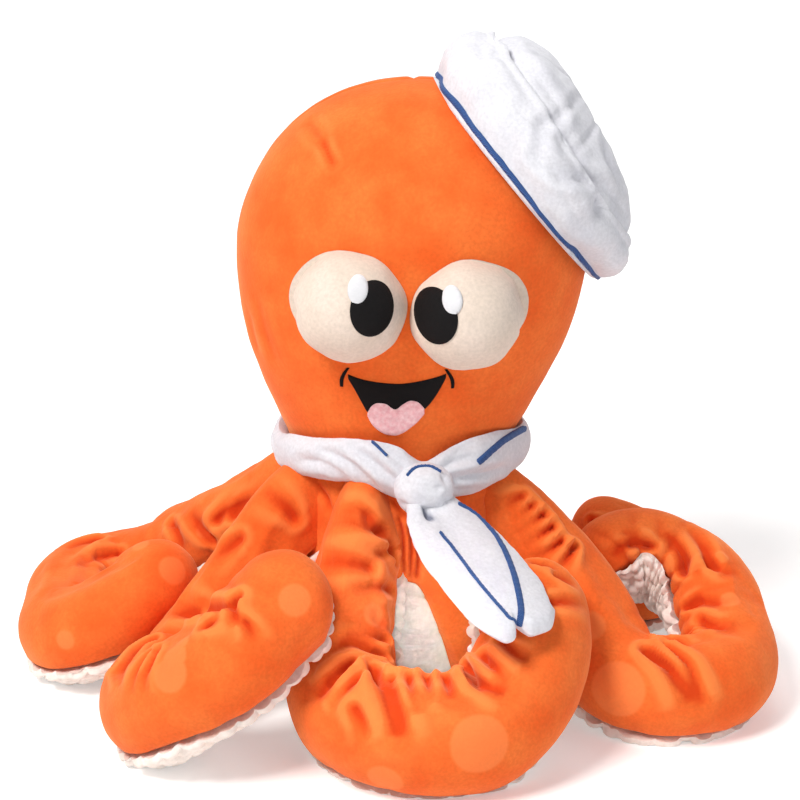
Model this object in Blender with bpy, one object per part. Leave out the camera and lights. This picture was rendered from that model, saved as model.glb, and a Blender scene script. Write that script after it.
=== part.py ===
"""Plush octopus with a sewn sailor cap and neckerchief.

Units are metres, +Z is up and the toy looks along -Y. The origin is the middle of the flat
base panel, on the surface that the toy sits on. Every cloth panel is a shell of real
thickness round its own core of stuffing, and the panels meet at seams.
"""
import math

import bmesh
import bpy
from mathutils import Matrix, Vector

# Cloth and seams
CLOTH = 0.0015            # thickness of the plush cloth
SEAM_GAP = 0.0003         # clearance between two pieces that lie against each other
CORE_GAP = 0.0005         # clearance between a cloth panel and the stuffing behind it
STITCH_HEIGHT = 0.0008    # thickness of an embroidered patch

# Torso
TORSO_RADIUS = 0.050
TORSO_HEIGHT = 0.1022
BASE_THICKNESS = 0.002
TORSO_PROFILE_SHARES = (
    (0.0, 0.80), (0.14, 0.86), (0.32, 0.95), (0.50, 1.0), (0.68, 1.0), (0.84, 0.96), (1.0, 0.90),
)
TORSO_SEGMENTS = 24
TORSO_PANEL_RINGS = 3
BELLY_SHARE = 0.55                # of the torso height, where the fleece belly ends

# Head
HEAD_WIDTH = 0.1450
HEAD_DEPTH = 0.1120
HEAD_HEIGHT = 0.1530      # neck seam to crown
HEAD_LEAN = 0.0055        # how far the head's middle sits to the toy's left
HEAD_EQUATOR_SHARE = 0.5907
HEAD_DOME_LEAN_SHARE = 0.45         # further lean of the dome, as a share of the head's lean
# Height share up to the equator, width share, depth share
HEAD_LOWER_SHARES = (
    (0.0, 0.638, 0.775), (0.06, 0.65, 0.785), (0.18, 0.725, 0.815), (0.345, 0.823, 0.865),
    (0.50, 0.903, 0.92), (0.66, 0.96, 0.965), (0.83, 0.99, 0.99), (1.0, 1.0, 1.0),
)
HEAD_DOME_RINGS = 5
HEAD_SEGMENTS = 24

# Eyes
EYE_WIDTH = 0.0450
EYE_HEIGHT = 0.0445
EYE_DEPTH = 0.0480
EYE_MEETING_X_SHARE = 0.046       # of the head width, where the two eyes touch
EYE_SETBACK_SHARE = 0.92          # of the half depth of the head
LEFT_EYE_HEIGHT_SHARE = 0.4766
RIGHT_EYE_HEIGHT_SHARE = 0.4554
EYE_SEGMENTS = 14
PUPIL_WIDTH = 0.0166
PUPIL_HEIGHT = 0.0206
GLINT_WIDTH = 0.0076
GLINT_HEIGHT = 0.0098
LEFT_PUPIL_SHARES = (0.190, 0.092)     # of the eye's width and height, from its middle
LEFT_GLINT_SHARES = (0.074, 0.262)
RIGHT_PUPIL_SHARES = (-0.272, 0.084)
RIGHT_GLINT_SHARES = (-0.135, 0.240)

# Mouth, as places on the front of the head: share of the half width, share of the head height
MOUTH_WIDTH = 0.0385
MOUTH_DROP = 0.0165
MOUTH_X_SHARE = -0.092
MOUTH_HEIGHT_SHARE = 0.2858
TONGUE_WIDTH = 0.0226
CREASE_WIDTH = 0.0014
CREASE_LENGTH = 0.0085
CREASE_BOW_SHARE = 1.6             # of its width, how far it bows outwards
CREASE_RISE_SHARE = 0.32           # of its length, above the corner of the mouth

# Cap
CAP_RADIUS = 0.0575
CAP_BAND_WIDTH = 0.0225
CAP_CROWN_RISE = 0.0170           # crown beyond the band
CAP_CROWN_RADIUS = 0.0480
CAP_SLOPE_SHARE = 0.24             # how much lower the cap is on its far side
CAP_PLACE_SHARES = (0.57, 0.035, 0.7321)   # half width, half depth and height of the head
CAP_LEAN = 50.6                   # degrees from upright towards the toy's left
CAP_TURN = 4.0
CAP_STRIPE_WIDTH = 0.0030
CAP_SEGMENTS = 24

# Neckerchief
SCARF_HEIGHT = 0.0200
SCARF_THICKNESS = 0.0050          # of the roll, from its middle outwards
SCARF_CENTRE_SHARE = 1.0          # of the torso height
SCARF_STRIPE_WIDTH = 0.0026
KNOT_WIDTH = 0.0240
KNOT_HEIGHT = 0.0220
KNOT_DEPTH = 0.0190
KNOT_ANGLE = -80.0
KNOT_CLEARANCE = 0.0007           # to the band and to the tail, which swings under the knot
TAIL_WIDTH = 0.042
TAIL_THICKNESS = 0.0075

KNOT_HEIGHT_SHARE = 0.984         # of the torso height
KNOT_REACH_SHARE = 1.35           # of the roll's thickness, beyond the roll's middle line
TAIL_HEADING = -57.0
# Along the tail: run and height in tentacle thicknesses from the knot, width and thickness shares
TAIL_SHARES = (
    (0.0, -0.08, 0.46, 0.9), (0.22, -0.20, 0.70, 1.0), (0.50, -0.32, 0.90, 1.0), (0.80, -0.44, 0.97, 1.0),
    (1.10, -0.57, 0.97, 1.0), (1.35, -0.70, 0.88, 1.0), (1.52, -0.80, 0.68, 0.9), (1.60, -0.85, 0.46, 0.7),
)

TAIL_STATIONS = 10
TAIL_ACROSS_SHARES = (-1.0, -0.86, -0.5, 0.0, 0.5, 0.86, 1.0)
TAIL_FOLD_SHARE = 0.25
TAIL_LEFT_STRIPE_SHARES = ((0.42, 0.36), (0.8, 0.26), (1.2, 0.22), (1.52, 0.10))
TAIL_RIGHT_STRIPE_SHARES = ((0.20, -0.62), (0.7, -0.58), (1.1, -0.36), (1.52, -0.10))
KNOT_STRIPE_FROM = -50.0
KNOT_STRIPE_TO = 35.0
KNOT_STRIPE_LEVEL = 38.0
SCARF_RADIUS_SHARE = 0.985
SCARF_SECTION_STEPS = 5
SCARF_OUTER_SPAN = 124.0          # degrees of the roll that shows

# Tentacles: lengths below are shares of this thickness, and a run is a length and a turn
TENTACLE_THICKNESS = 0.044
TENTACLE_START_SHARE = 0.60       # of the torso radius, inside the torso
LIE_SHARE = 0.465                 # height of the middle of a tube that lies flat
RING_SPACING_SHARE = 0.45
TIP_LENGTH_SHARE = 0.42
ROOT_TOP_SHARE = 0.62             # from the middle of a root up to its hinge
ROOT_RUN_SHARE = 0.5
TOP_SECTION_STEPS = 6
UNDERSIDE_SECTION_STEPS = 3
UNDERSIDE_SPAN = 120.0
ROOT_HEIGHT_SHARE = 0.95          # least height of the section near the root, of the full thickness
ROOT_HEIGHT_RUN_SHARE = 2.0
ROOT_LIFT_SHARE = 0.4305          # of the torso height: one unit of lift where a tentacle still comes down
WIDTH_SHARES = ((0.0, 0.56), (0.45, 0.68), (0.73, 0.80), (1.10, 0.95), (1.4, 1.0), (4.0, 1.0), (6.0, 0.88))
TENTACLES = (
    dict(name="left", azimuth=173.0, heading=148.0, fullness_share=0.93, outer_seam=-37.0,
         run_shares=((1.32, -4), (0.90, 24), (1.11, 105), (0.63, 0), (1.42, 170), (0.22, 0)),
         lift_shares=((0.0, 1.12), (0.5, 1.04), (1.25, 0.66), (1.95, 0.18), (2.6, 0.0), (4.05, 0.0),
                      (5.0, 0.40), (5.75, 0.70)),
         roll_shares=((0.0, 0.0), (5.6, 0.0))),
    dict(name="front_left", azimuth=-143.0, heading=-160.0, fullness_share=0.98, outer_seam=-49.0,
         run_shares=((1.05, 5), (0.84, 38), (0.14, 0), (1.62, 155), (0.72, 0)),
         lift_shares=((0.0, 1.25), (0.5, 1.12), (0.95, 0.68), (1.36, 0.26), (1.9, 0.0), (2.45, 0.0),
                      (3.1, 0.42), (4.2, 1.10)),
         roll_shares=((0.0, 0.0), (4.0, 0.0))),
    dict(name="front", azimuth=-109.0, heading=-108.0, fullness_share=1.05, outer_seam=-48.0,
         run_shares=((0.84, 0), (2.72, 180), (0.74, 66)),
         lift_shares=((0.0, 1.20), (0.5, 0.96), (0.84, 0.58), (1.25, 0.14), (1.6, 0.0), (2.7, 0.0),
                      (3.3, 0.26), (4.14, 0.80)),
         roll_shares=((0.0, 0.0), (4.3, 25.0))),
    dict(name="front_right", azimuth=-38.0, heading=-12.0, fullness_share=0.93, outer_seam=-34.0,
         run_shares=((0.81, -4), (0.80, -52), (1.80, 165), (0.46, 0), (1.0, 92), (0.62, 70)),
         lift_shares=((0.0, 1.22), (0.5, 1.12), (1.0, 0.78), (1.4, 0.36), (1.9, 0.03), (2.95, 0.0),
                      (3.60, 0.18), (4.40, 0.52), (4.95, 0.66), (5.45, 0.55)),
         roll_shares=((0.0, 0.0), (2.0, 10.0), (4.0, 40.0), (5.7, 50.0))),
    dict(name="right", azimuth=12.0, heading=20.0, fullness_share=0.86, outer_seam=-30.0,
         run_shares=((1.86, 6), (1.50, 160), (0.27, 0)),
         lift_shares=((0.0, 1.0), (0.5, 0.74), (0.95, 0.26), (1.35, 0.0), (2.6, 0.03), (3.6, 0.22)),
         roll_shares=((0.0, 0.0), (3.5, 0.0))),
    dict(name="back_right", azimuth=52.0, heading=66.0, fullness_share=0.86, outer_seam=-30.0,
         run_shares=((2.23, 20), (1.50, 160), (0.59, 0)),
         lift_shares=((0.0, 1.15), (0.5, 0.90), (1.14, 0.24), (1.5, 0.0), (2.3, 0.04), (2.95, 0.54),
                      (3.4, 0.93), (4.3, 1.0)),
         roll_shares=((0.0, 0.0), (4.3, 0.0))),
    dict(name="back", azimuth=92.0, heading=89.0, fullness_share=0.86, outer_seam=-30.0,
         run_shares=((1.73, 2), (1.05, 110), (0.32, 0)),
         lift_shares=((0.0, 1.15), (0.5, 0.90), (1.14, 0.24), (1.5, 0.0), (3.1, 0.0)),
         roll_shares=((0.0, 0.0), (3.1, 0.0))),
    dict(name="back_left", azimuth=132.0, heading=118.0, fullness_share=0.84, outer_seam=-30.0,
         run_shares=((1.92, 0), (1.41, 150), (0.23, 0)),
         lift_shares=((0.0, 1.15), (0.5, 0.90), (1.14, 0.24), (1.5, 0.0), (3.6, 0.0)),
         roll_shares=((0.0, 0.0), (3.6, 0.0))),
)

# Colours
ORANGE = (0.83, 0.11, 0.008)
CREAM = (0.87, 0.72, 0.55)
NUBBY_CREAM = (0.90, 0.84, 0.76)
WHITE = (0.86, 0.86, 0.88)
BLUE = (0.035, 0.13, 0.42)
BLACK = (0.012, 0.011, 0.012)
PINK = (0.85, 0.36, 0.38)
FILL = (0.90, 0.90, 0.88)


def clear_scene():
    for item in list(bpy.data.objects):
        bpy.data.objects.remove(item, do_unlink=True)


def material(name, colour, roughness=0.9):
    made = bpy.data.materials.get(name) or bpy.data.materials.new(name)
    made.use_nodes = True
    shader = made.node_tree.nodes["Principled BSDF"]
    shader.inputs["Base Color"].default_value = (*colour, 1.0)
    shader.inputs["Roughness"].default_value = roughness
    shader.inputs["Metallic"].default_value = 0.0
    return made


def add_object(name, points, faces, finish, origin=None, smooth_angle=40.0):
    """Make one closed body with its faces pointing out and its origin at a given place."""
    form = bmesh.new()
    place = origin or Vector((0, 0, 0))
    corners = [form.verts.new(point - place) for point in points]
    for face in faces:
        form.faces.new([corners[index] for index in face])
    bmesh.ops.recalc_face_normals(form, faces=form.faces)
    if form.calc_volume(signed=True) < 0:
        bmesh.ops.reverse_faces(form, faces=form.faces)
    mesh = bpy.data.meshes.new(name)
    form.to_mesh(mesh)
    form.free()
    mesh.shade_smooth()
    mesh.set_sharp_from_angle(angle=math.radians(smooth_angle))
    made = bpy.data.objects.new(name, mesh)
    made.location = place
    bpy.context.scene.collection.objects.link(made)
    if finish:
        made.data.materials.append(finish)
    return made


def mark_cutter(cutter):
    cutter.hide_render = True
    cutter.display_type = 'WIRE'
    return cutter


def cut(target, cutter):
    boolean = target.modifiers.new("cut_" + cutter.name, 'BOOLEAN')
    boolean.operation = 'DIFFERENCE'
    boolean.solver = 'EXACT'
    boolean.object = cutter


def blend_table(table, at):
    """Value of a table of (place, value) pairs on a smooth curve through its rows."""
    if at <= table[0][0]:
        return table[0][1]
    if at >= table[-1][0]:
        return table[-1][1]
    row = next(index for index in range(len(table) - 1) if table[index + 1][0] >= at)

    def slope(index):
        low, high = max(index - 1, 0), min(index + 1, len(table) - 1)
        if (table[index][1] - table[low][1]) * (table[high][1] - table[index][1]) <= 0:
            return 0.0
        return (table[high][1] - table[low][1]) / (table[high][0] - table[low][0])

    span = table[row + 1][0] - table[row][0]
    part = (at - table[row][0]) / span
    rise = table[row + 1][1] - table[row][1]
    ease = part * part * (3 - 2 * part)
    start_pull = part * (1 - part) ** 2 * slope(row) * span
    end_pull = -part * part * (1 - part) * slope(row + 1) * span
    return table[row][1] + rise * ease + start_pull + end_pull


def grid_faces(rows, closed):
    """Triangles between rows of point numbers; a row of one number is a pole."""
    faces = []
    for near, far in zip(rows, rows[1:]):
        steps = max(len(near), len(far)) - (0 if closed else 1)
        for step in range(steps):
            a, b = near[step % len(near)], near[(step + 1) % len(near)]
            c, d = far[(step + 1) % len(far)], far[step % len(far)]
            if len(near) > 1:
                faces.append((a, b, c) if len(far) > 1 else (a, b, d))
            if len(far) > 1:
                faces.append((a, c, d))
    return faces


def solid_of_rows(rows, closed_ends=(True, True)):
    """Points and faces of a closed tube: rings of points, capped or drawn to a pole."""
    points, numbers = [], []
    for row in rows:
        numbers.append(list(range(len(points), len(points) + len(row))))
        points.extend(row)
    faces = grid_faces(numbers, closed=True)
    for wanted, ring in zip(closed_ends, (numbers[0], numbers[-1])):
        if wanted and len(ring) > 2:
            faces.append(tuple(ring))
    return points, faces


def shell_of_rows(outer, inner, closed):
    """Points and faces of a cloth shell between two grids of the same shape."""
    points, outer_numbers, inner_numbers = [], [], []
    for rows, numbers in ((outer, outer_numbers), (inner, inner_numbers)):
        for row in rows:
            numbers.append(list(range(len(points), len(points) + len(row))))
            points.extend(row)
    faces = grid_faces(outer_numbers, closed) + [f[::-1] for f in grid_faces(inner_numbers, closed)]
    for edge_row in (0, -1):
        out_row, in_row = outer_numbers[edge_row], inner_numbers[edge_row]
        if len(out_row) > 1:
            faces += grid_faces([out_row, in_row], closed)
    if not closed:
        for side in (0, -1):
            out_side = [row[side] for row in outer_numbers]
            in_side = [row[side] for row in inner_numbers]
            faces += grid_faces([out_side, in_side], False)
    return points, faces


def turned_rows(profile, segments, start=0.0, span=360.0):
    """Rings of a turned profile of (radius, height) pairs; radius zero is a pole."""
    count = segments if span == 360.0 else segments + 1
    rows = []
    for radius, height in profile:
        if radius == 0:
            rows.append([Vector((0, 0, height))])
            continue
        angles = [math.radians(start + span * step / segments) for step in range(count)]
        rows.append([Vector((radius * math.cos(a), radius * math.sin(a), height)) for a in angles])
    return rows


# Torso

def torso_radius(height):
    return TORSO_RADIUS * blend_table(TORSO_PROFILE_SHARES, height / TORSO_HEIGHT)


def torso_profile(inset, levels):
    return [(torso_radius(height) - inset, height) for height in levels]


def levels_between(bottom, top, steps):
    return [bottom + (top - bottom) * step / steps for step in range(steps + 1)]


def build_torso():
    plush = material("orange_plush", ORANGE)
    fleece = material("nubby_fleece", NUBBY_CREAM)
    floor = BASE_THICKNESS + SEAM_GAP
    seam = TORSO_HEIGHT * BELLY_SHARE
    belly = levels_between(floor, seam, TORSO_PANEL_RINGS)
    chest = levels_between(seam + SEAM_GAP, TORSO_HEIGHT, TORSO_PANEL_RINGS)
    for name, levels, finish in (("torso_skin", chest, plush), ("belly_panel", belly, fleece)):
        outer = turned_rows(torso_profile(0.0, levels), TORSO_SEGMENTS)
        inner = turned_rows(torso_profile(CLOTH, levels), TORSO_SEGMENTS)
        add_object(name, *shell_of_rows(outer, inner, True), finish)
    levels = belly + chest[1:]
    core = torso_profile(CLOTH + CORE_GAP, levels)
    add_object("torso_stuffing", *solid_of_rows(turned_rows(core, TORSO_SEGMENTS)),
               material("fibre_fill", FILL))
    rim = torso_radius(0.0)
    base = turned_rows([(rim, 0.0), (rim, BASE_THICKNESS)], TORSO_SEGMENTS)
    add_object("base_panel", *solid_of_rows(base), fleece)
    cutter = torso_profile(-SEAM_GAP * 1.2, belly + chest)
    cutter.insert(0, (cutter[0][0], -BASE_THICKNESS))
    return mark_cutter(add_object("torso_cutter", *solid_of_rows(turned_rows(cutter, TORSO_SEGMENTS)), None))


# Head

HEAD_BASE = TORSO_HEIGHT + SEAM_GAP
HEAD_EQUATOR = HEAD_BASE + HEAD_HEIGHT * HEAD_EQUATOR_SHARE
HEAD_TOP = HEAD_BASE + HEAD_HEIGHT


def head_section(height):
    """Half width, half depth and middle of the head at a height."""
    middle = HEAD_LEAN * max(height - HEAD_BASE, 0.0) / (HEAD_EQUATOR - HEAD_BASE)
    if height >= HEAD_EQUATOR:
        up = min((height - HEAD_EQUATOR) / (HEAD_TOP - HEAD_EQUATOR), 1.0)
        share = math.sqrt(1 - up * up)
        leaning = HEAD_LEAN * (1 + HEAD_DOME_LEAN_SHARE * math.sin(math.pi * up))
        return HEAD_WIDTH / 2 * share, HEAD_DEPTH / 2 * share, leaning
    up = (height - HEAD_BASE) / (HEAD_EQUATOR - HEAD_BASE)
    width = blend_table([row[:2] for row in HEAD_LOWER_SHARES], up)
    depth = blend_table([(row[0], row[2]) for row in HEAD_LOWER_SHARES], up)
    return HEAD_WIDTH / 2 * width, HEAD_DEPTH / 2 * depth, middle


def head_rows(inset, segments, start=0.0, span=360.0, shift=0.0):
    count = segments if span == 360.0 else segments + 1
    heights = [HEAD_BASE + (HEAD_EQUATOR - HEAD_BASE) * row[0] for row in HEAD_LOWER_SHARES]
    dome = HEAD_TOP - HEAD_EQUATOR
    turns = [90.0 * step / HEAD_DOME_RINGS for step in range(1, HEAD_DOME_RINGS)]
    heights += [HEAD_EQUATOR + dome * math.sin(math.radians(turn)) for turn in turns]
    rows = []
    for height in heights:
        half_width, half_depth, middle = head_section(height)
        sunk = HEAD_EQUATOR + (height - HEAD_EQUATOR) * (1 - inset / dome) if height > HEAD_EQUATOR else height
        row = []
        for step in range(count):
            angle = math.radians(start + span * step / segments)
            share = half_width / (HEAD_WIDTH / 2) if height > HEAD_EQUATOR else 1.0
            x = middle + (half_width - inset * share) * math.cos(angle)
            y = (half_depth - inset * share) * math.sin(angle) + shift
            row.append(Vector((x, y, sunk)))
        rows.append(row)
    rows.append([Vector((HEAD_LEAN, shift, HEAD_TOP - inset))])
    return rows


def head_front(x, height, offset):
    """Point on the front of the head, a little off its surface."""
    half_width, half_depth, middle = head_section(height)
    across = (x - middle) / (half_width + offset)
    return Vector((x, -(half_depth + offset) * math.sqrt(1 - across * across), height))


def build_head():
    plush = material("orange_plush", ORANGE)
    half = HEAD_SEGMENTS // 2
    for name, start, shift in (("head_back_skin", 0.0, SEAM_GAP / 2), ("head_front_skin", 180.0, -SEAM_GAP / 2)):
        outer = head_rows(0.0, half, start, 180.0, shift)
        inner = head_rows(CLOTH, half, start, 180.0, shift)
        add_object(name, *shell_of_rows(outer, inner, False), plush)
    core = head_rows(CLOTH + CORE_GAP, HEAD_SEGMENTS)
    add_object("head_stuffing", *solid_of_rows(core), material("fibre_fill", FILL))
    cutter = head_rows(-SEAM_GAP, HEAD_SEGMENTS)
    return mark_cutter(add_object("head_cutter", *solid_of_rows(cutter), None))


# Eyes

def ellipsoid_rows(centre, half_sizes, segments, tilt=None):
    """Rings of an ellipsoid with its poles front and back, along Y."""
    rings = segments // 2
    rows = []
    for ring in range(rings + 1):
        turn = math.pi * ring / rings
        if ring in (0, rings):
            rows.append([Vector((0, -half_sizes[1] * math.cos(turn), 0))])
            continue
        row = []
        for step in range(segments):
            angle = 2 * math.pi * step / segments
            row.append(Vector((half_sizes[0] * math.sin(turn) * math.cos(angle),
                               -half_sizes[1] * math.cos(turn),
                               half_sizes[2] * math.sin(turn) * math.sin(angle))))
        rows.append(row)
    return [[centre + (tilt @ point if tilt else point) for point in row] for row in rows]


def patch_points(place, size, surface, rings=3, segments=14):
    """Outer and inner rows of a round patch laid on a surface function of (x, z, offset)."""
    sheets = []
    for offset in (SEAM_GAP * 1.5 + STITCH_HEIGHT, SEAM_GAP * 1.5):
        rows = [[surface(place[0], place[1], offset)]]
        for ring in range(1, rings + 1):
            share = ring / rings
            row = []
            for step in range(segments):
                angle = 2 * math.pi * step / segments
                row.append(surface(place[0] + size[0] / 2 * share * math.cos(angle),
                                   place[1] + size[1] / 2 * share * math.sin(angle), offset))
            rows.append(row)
        sheets.append(rows)
    return sheets


def build_eye(side, contact_side, height_share, pupil_shares, glint_shares, head_cutter):
    contact = EYE_MEETING_X_SHARE * HEAD_WIDTH / 2
    x = contact + contact_side * (EYE_WIDTH / 2 + SEAM_GAP)
    centre = Vector((x, -EYE_SETBACK_SHARE * HEAD_DEPTH / 2, HEAD_BASE + HEAD_HEIGHT * height_share))
    half = (EYE_WIDTH / 2, EYE_DEPTH / 2, EYE_HEIGHT / 2)

    def sized(offset):
        return tuple(value + offset for value in half)

    outer = ellipsoid_rows(centre, half, EYE_SEGMENTS)
    inner = ellipsoid_rows(centre, sized(-CLOTH), EYE_SEGMENTS)
    cover = add_object(f"eye_{side}_cover", *solid_of_rows(outer), material("cream_plush", CREAM))
    hollow = mark_cutter(add_object(f"eye_{side}_hollow", *solid_of_rows(inner), None))
    cut(cover, hollow)
    cut(cover, head_cutter)
    core = ellipsoid_rows(centre, sized(-CLOTH - CORE_GAP), EYE_SEGMENTS)
    stuffing = add_object(f"eye_{side}_stuffing", *solid_of_rows(core), material("fibre_fill", FILL))
    cut(stuffing, head_cutter)

    def surface(across, up, offset):
        width, depth, height = sized(offset)
        front = math.sqrt(max(1 - (across / width) ** 2 - (up / height) ** 2, 0.0))
        return centre + Vector((across, -depth * front, up))

    glint_place = (glint_shares[0] * EYE_WIDTH, glint_shares[1] * EYE_HEIGHT)
    sheets = patch_points(glint_place, (GLINT_WIDTH, GLINT_HEIGHT), surface, rings=1, segments=10)
    add_object(f"glint_{side}", *shell_of_rows(*sheets, True), material("white_thread", WHITE))
    room = (GLINT_WIDTH + 2 * SEAM_GAP, GLINT_HEIGHT + 2 * SEAM_GAP)
    ring = []
    for step in range(10):
        angle = 2 * math.pi * step / 10
        ring.append((glint_place[0] + room[0] / 2 * math.cos(angle),
                     glint_place[1] + room[1] / 2 * math.sin(angle)))
    rows = [[centre + Vector((across, -depth, up)) for across, up in ring] for depth in (EYE_DEPTH, 0.0)]
    window = mark_cutter(add_object(f"glint_{side}_window", *solid_of_rows(rows), None))
    pupil_place = (pupil_shares[0] * EYE_WIDTH, pupil_shares[1] * EYE_HEIGHT)
    sheets = patch_points(pupil_place, (PUPIL_WIDTH, PUPIL_HEIGHT), surface)
    pupil = add_object(f"pupil_{side}", *shell_of_rows(*sheets, True), material("black_thread", BLACK))
    cut(pupil, window)


# Mouth

def strip_on_head(name, tops, bottoms, finish):
    """Closed patch between an upper and a lower line of (x, height) points on the head."""
    rows = 3
    sheets = []
    for offset in (SEAM_GAP + STITCH_HEIGHT + SEAM_GAP, SEAM_GAP + SEAM_GAP):
        sheet = []
        for upper, lower in zip(tops, bottoms):
            line = []
            for step in range(rows + 1):
                share = step / rows
                x = upper[0] + (lower[0] - upper[0]) * share
                height = upper[1] + (lower[1] - upper[1]) * share
                line.append(head_front(x, height, offset))
            sheet.append(line)
        sheets.append(sheet)
    add_object(name, *shell_of_rows(*sheets, False), finish)


def build_mouth():
    middle = HEAD_WIDTH / 2 * MOUTH_X_SHARE + HEAD_LEAN
    level = HEAD_BASE + HEAD_HEIGHT * MOUTH_HEIGHT_SHARE
    half = MOUTH_WIDTH / 2
    tongue_half = TONGUE_WIDTH / 2
    tongue_shares = (-0.30, 0.30)
    # Across the mouth from corner to corner: place, dip of the upper lip, drop of the lower lip,
    # all as shares of the half width and of the drop
    lip_shares = (
        (-1.0, 0.0, 0.09), (-0.86, 0.06, 0.40), (-0.70, 0.11, 0.72), (-0.60, 0.13, 0.80), (-0.42, 0.16, 0.72),
        (-0.22, 0.18, 0.66), (0.0, 0.19, 0.78), (0.22, 0.17, 0.66), (0.42, 0.13, 0.72), (0.58, 0.09, 0.80),
        (0.72, 0.05, 0.66), (0.87, 0.0, 0.36), (1.0, -0.06, 0.03),
    )
    tops = [(middle + half * row[0], level - MOUTH_DROP * row[1]) for row in lip_shares]
    bottoms = [(middle + half * row[0], level - MOUTH_DROP * row[2]) for row in lip_shares]
    strip_on_head("mouth", tops, bottoms, material("black_thread", BLACK))

    seat = SEAM_GAP / MOUTH_DROP
    tongue_tops = [(place, low + seat) for place, dip, low in lip_shares[3:10]]
    tongue_low_shares = (1.06, 1.36, 1.50, 1.54, 1.50, 1.36, 1.06)
    scale = tongue_half / (half * tongue_tops[-1][0])
    tops = [(middle + half * place * scale, level - MOUTH_DROP * low) for place, low in tongue_tops]
    bottoms = [(middle + half * row[0] * scale, level - MOUTH_DROP * low)
               for row, low in zip(tongue_tops, tongue_low_shares)]
    strip_on_head("tongue", tops, bottoms, material("pink_terry", PINK))

    for side, sign in (("left", -1), ("right", 1)):
        start = middle + sign * (half + CREASE_WIDTH)
        tops, bottoms = [], []
        for step in range(4):
            share = step / 3
            x = start + sign * CREASE_WIDTH * CREASE_BOW_SHARE * math.sin(math.pi * share)
            height = level + CREASE_LENGTH * (CREASE_RISE_SHARE - share)
            tops.append((x, height))
            bottoms.append((x + sign * CREASE_WIDTH, height))
        strip_on_head(f"smile_crease_{side}", tops, bottoms, material("black_thread", BLACK))


# Cap

def cap_frame():
    half_width, half_depth, _ = head_section(HEAD_EQUATOR)
    place = Vector((half_width * CAP_PLACE_SHARES[0] + HEAD_LEAN, half_depth * CAP_PLACE_SHARES[1],
                    HEAD_BASE + HEAD_HEIGHT * CAP_PLACE_SHARES[2]))
    lean = Matrix.Rotation(math.radians(CAP_TURN), 4, 'Z') @ Matrix.Rotation(math.radians(CAP_LEAN), 4, 'Y')
    return Matrix.Translation(place) @ lean


def placed(frame, rows):
    """Cap points in the scene, the cap sloping down towards one side."""
    def sloped(point):
        return Vector((point.x, point.y, point.z * (1 - CAP_SLOPE_SHARE * point.x / CAP_RADIUS)))

    return [[frame @ sloped(point) for point in row] for row in rows]


def cap_band_radius(share):
    table = ((0.0, 0.905), (0.3, 0.975), (0.55, 1.0), (0.85, 0.965), (1.0, 0.90))
    return CAP_RADIUS * blend_table(table, share)


def build_cap(head_cutter):
    frame = cap_frame()
    felt = material("white_plush", WHITE)
    bore = CAP_CROWN_RADIUS + SEAM_GAP
    outer_side = [(cap_band_radius(share), CAP_BAND_WIDTH * share) for share in (0.0, 0.15, 0.35, 0.6, 0.85, 1.0)]
    profile = outer_side + [(bore, CAP_BAND_WIDTH), (bore, 0.0)]
    rows = turned_rows(profile, CAP_SEGMENTS)
    band_rows = placed(frame, rows + [rows[0]])
    points, faces = ring_solid(band_rows)
    band = add_object("cap_band", points, faces, felt)
    cut(band, head_cutter)

    crown_foot = CAP_BAND_WIDTH * 0.62
    crown_top = CAP_BAND_WIDTH + CAP_CROWN_RISE
    crown_shares = ((1.0, 0.0), (1.0, 0.24), (0.985, 0.45), (0.88, 0.72), (0.62, 0.91), (0.30, 0.985), (0.0, 1.0))

    def crown(inset):
        rise = crown_top - inset - crown_foot
        return [(max(CAP_CROWN_RADIUS - inset, 0.0) * radius, crown_foot + rise * up)
                for radius, up in crown_shares]

    outer = placed(frame, turned_rows(crown(0.0), CAP_SEGMENTS))
    inner = placed(frame, turned_rows(crown(CLOTH), CAP_SEGMENTS))
    cap_crown = add_object("cap_crown", *shell_of_rows(outer, inner, True), felt)
    cut(cap_crown, head_cutter)
    core = placed(frame, turned_rows(crown(CLOTH + CORE_GAP), CAP_SEGMENTS))
    stuffing = add_object("cap_stuffing", *solid_of_rows(core), material("fibre_fill", FILL))
    cut(stuffing, head_cutter)

    low = CAP_BAND_WIDTH * 0.07
    high = low + CAP_STRIPE_WIDTH
    low_radius = cap_band_radius(low / CAP_BAND_WIDTH) + SEAM_GAP * 2
    high_radius = cap_band_radius(high / CAP_BAND_WIDTH) + SEAM_GAP * 2
    profile = [(low_radius, low), (low_radius + STITCH_HEIGHT, low), (high_radius + STITCH_HEIGHT, high),
               (high_radius, high)]
    rows = turned_rows(profile, CAP_SEGMENTS)
    stripe = add_object("cap_stripe", *ring_solid(placed(frame, rows + [rows[0]])),
                        material("blue_thread", BLUE))
    cut(stripe, head_cutter)


def ring_solid(rows):
    """Points and faces of a ring whose profile closes on itself."""
    points, numbers = [], []
    for row in rows[:-1]:
        numbers.append(list(range(len(points), len(points) + len(row))))
        points.extend(row)
    return points, grid_faces(numbers + [numbers[0]], closed=True)


# Neckerchief

def ring_point(angle, turn, radius, half_size, height):
    """Point on a padded ring round the Z axis: angle round the axis, turn round the padding."""
    reach = radius + half_size[0] * math.cos(math.radians(turn))
    around = math.radians(angle)
    return Vector((reach * math.cos(around), reach * math.sin(around),
                   height + half_size[1] * math.sin(math.radians(turn))))


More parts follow.
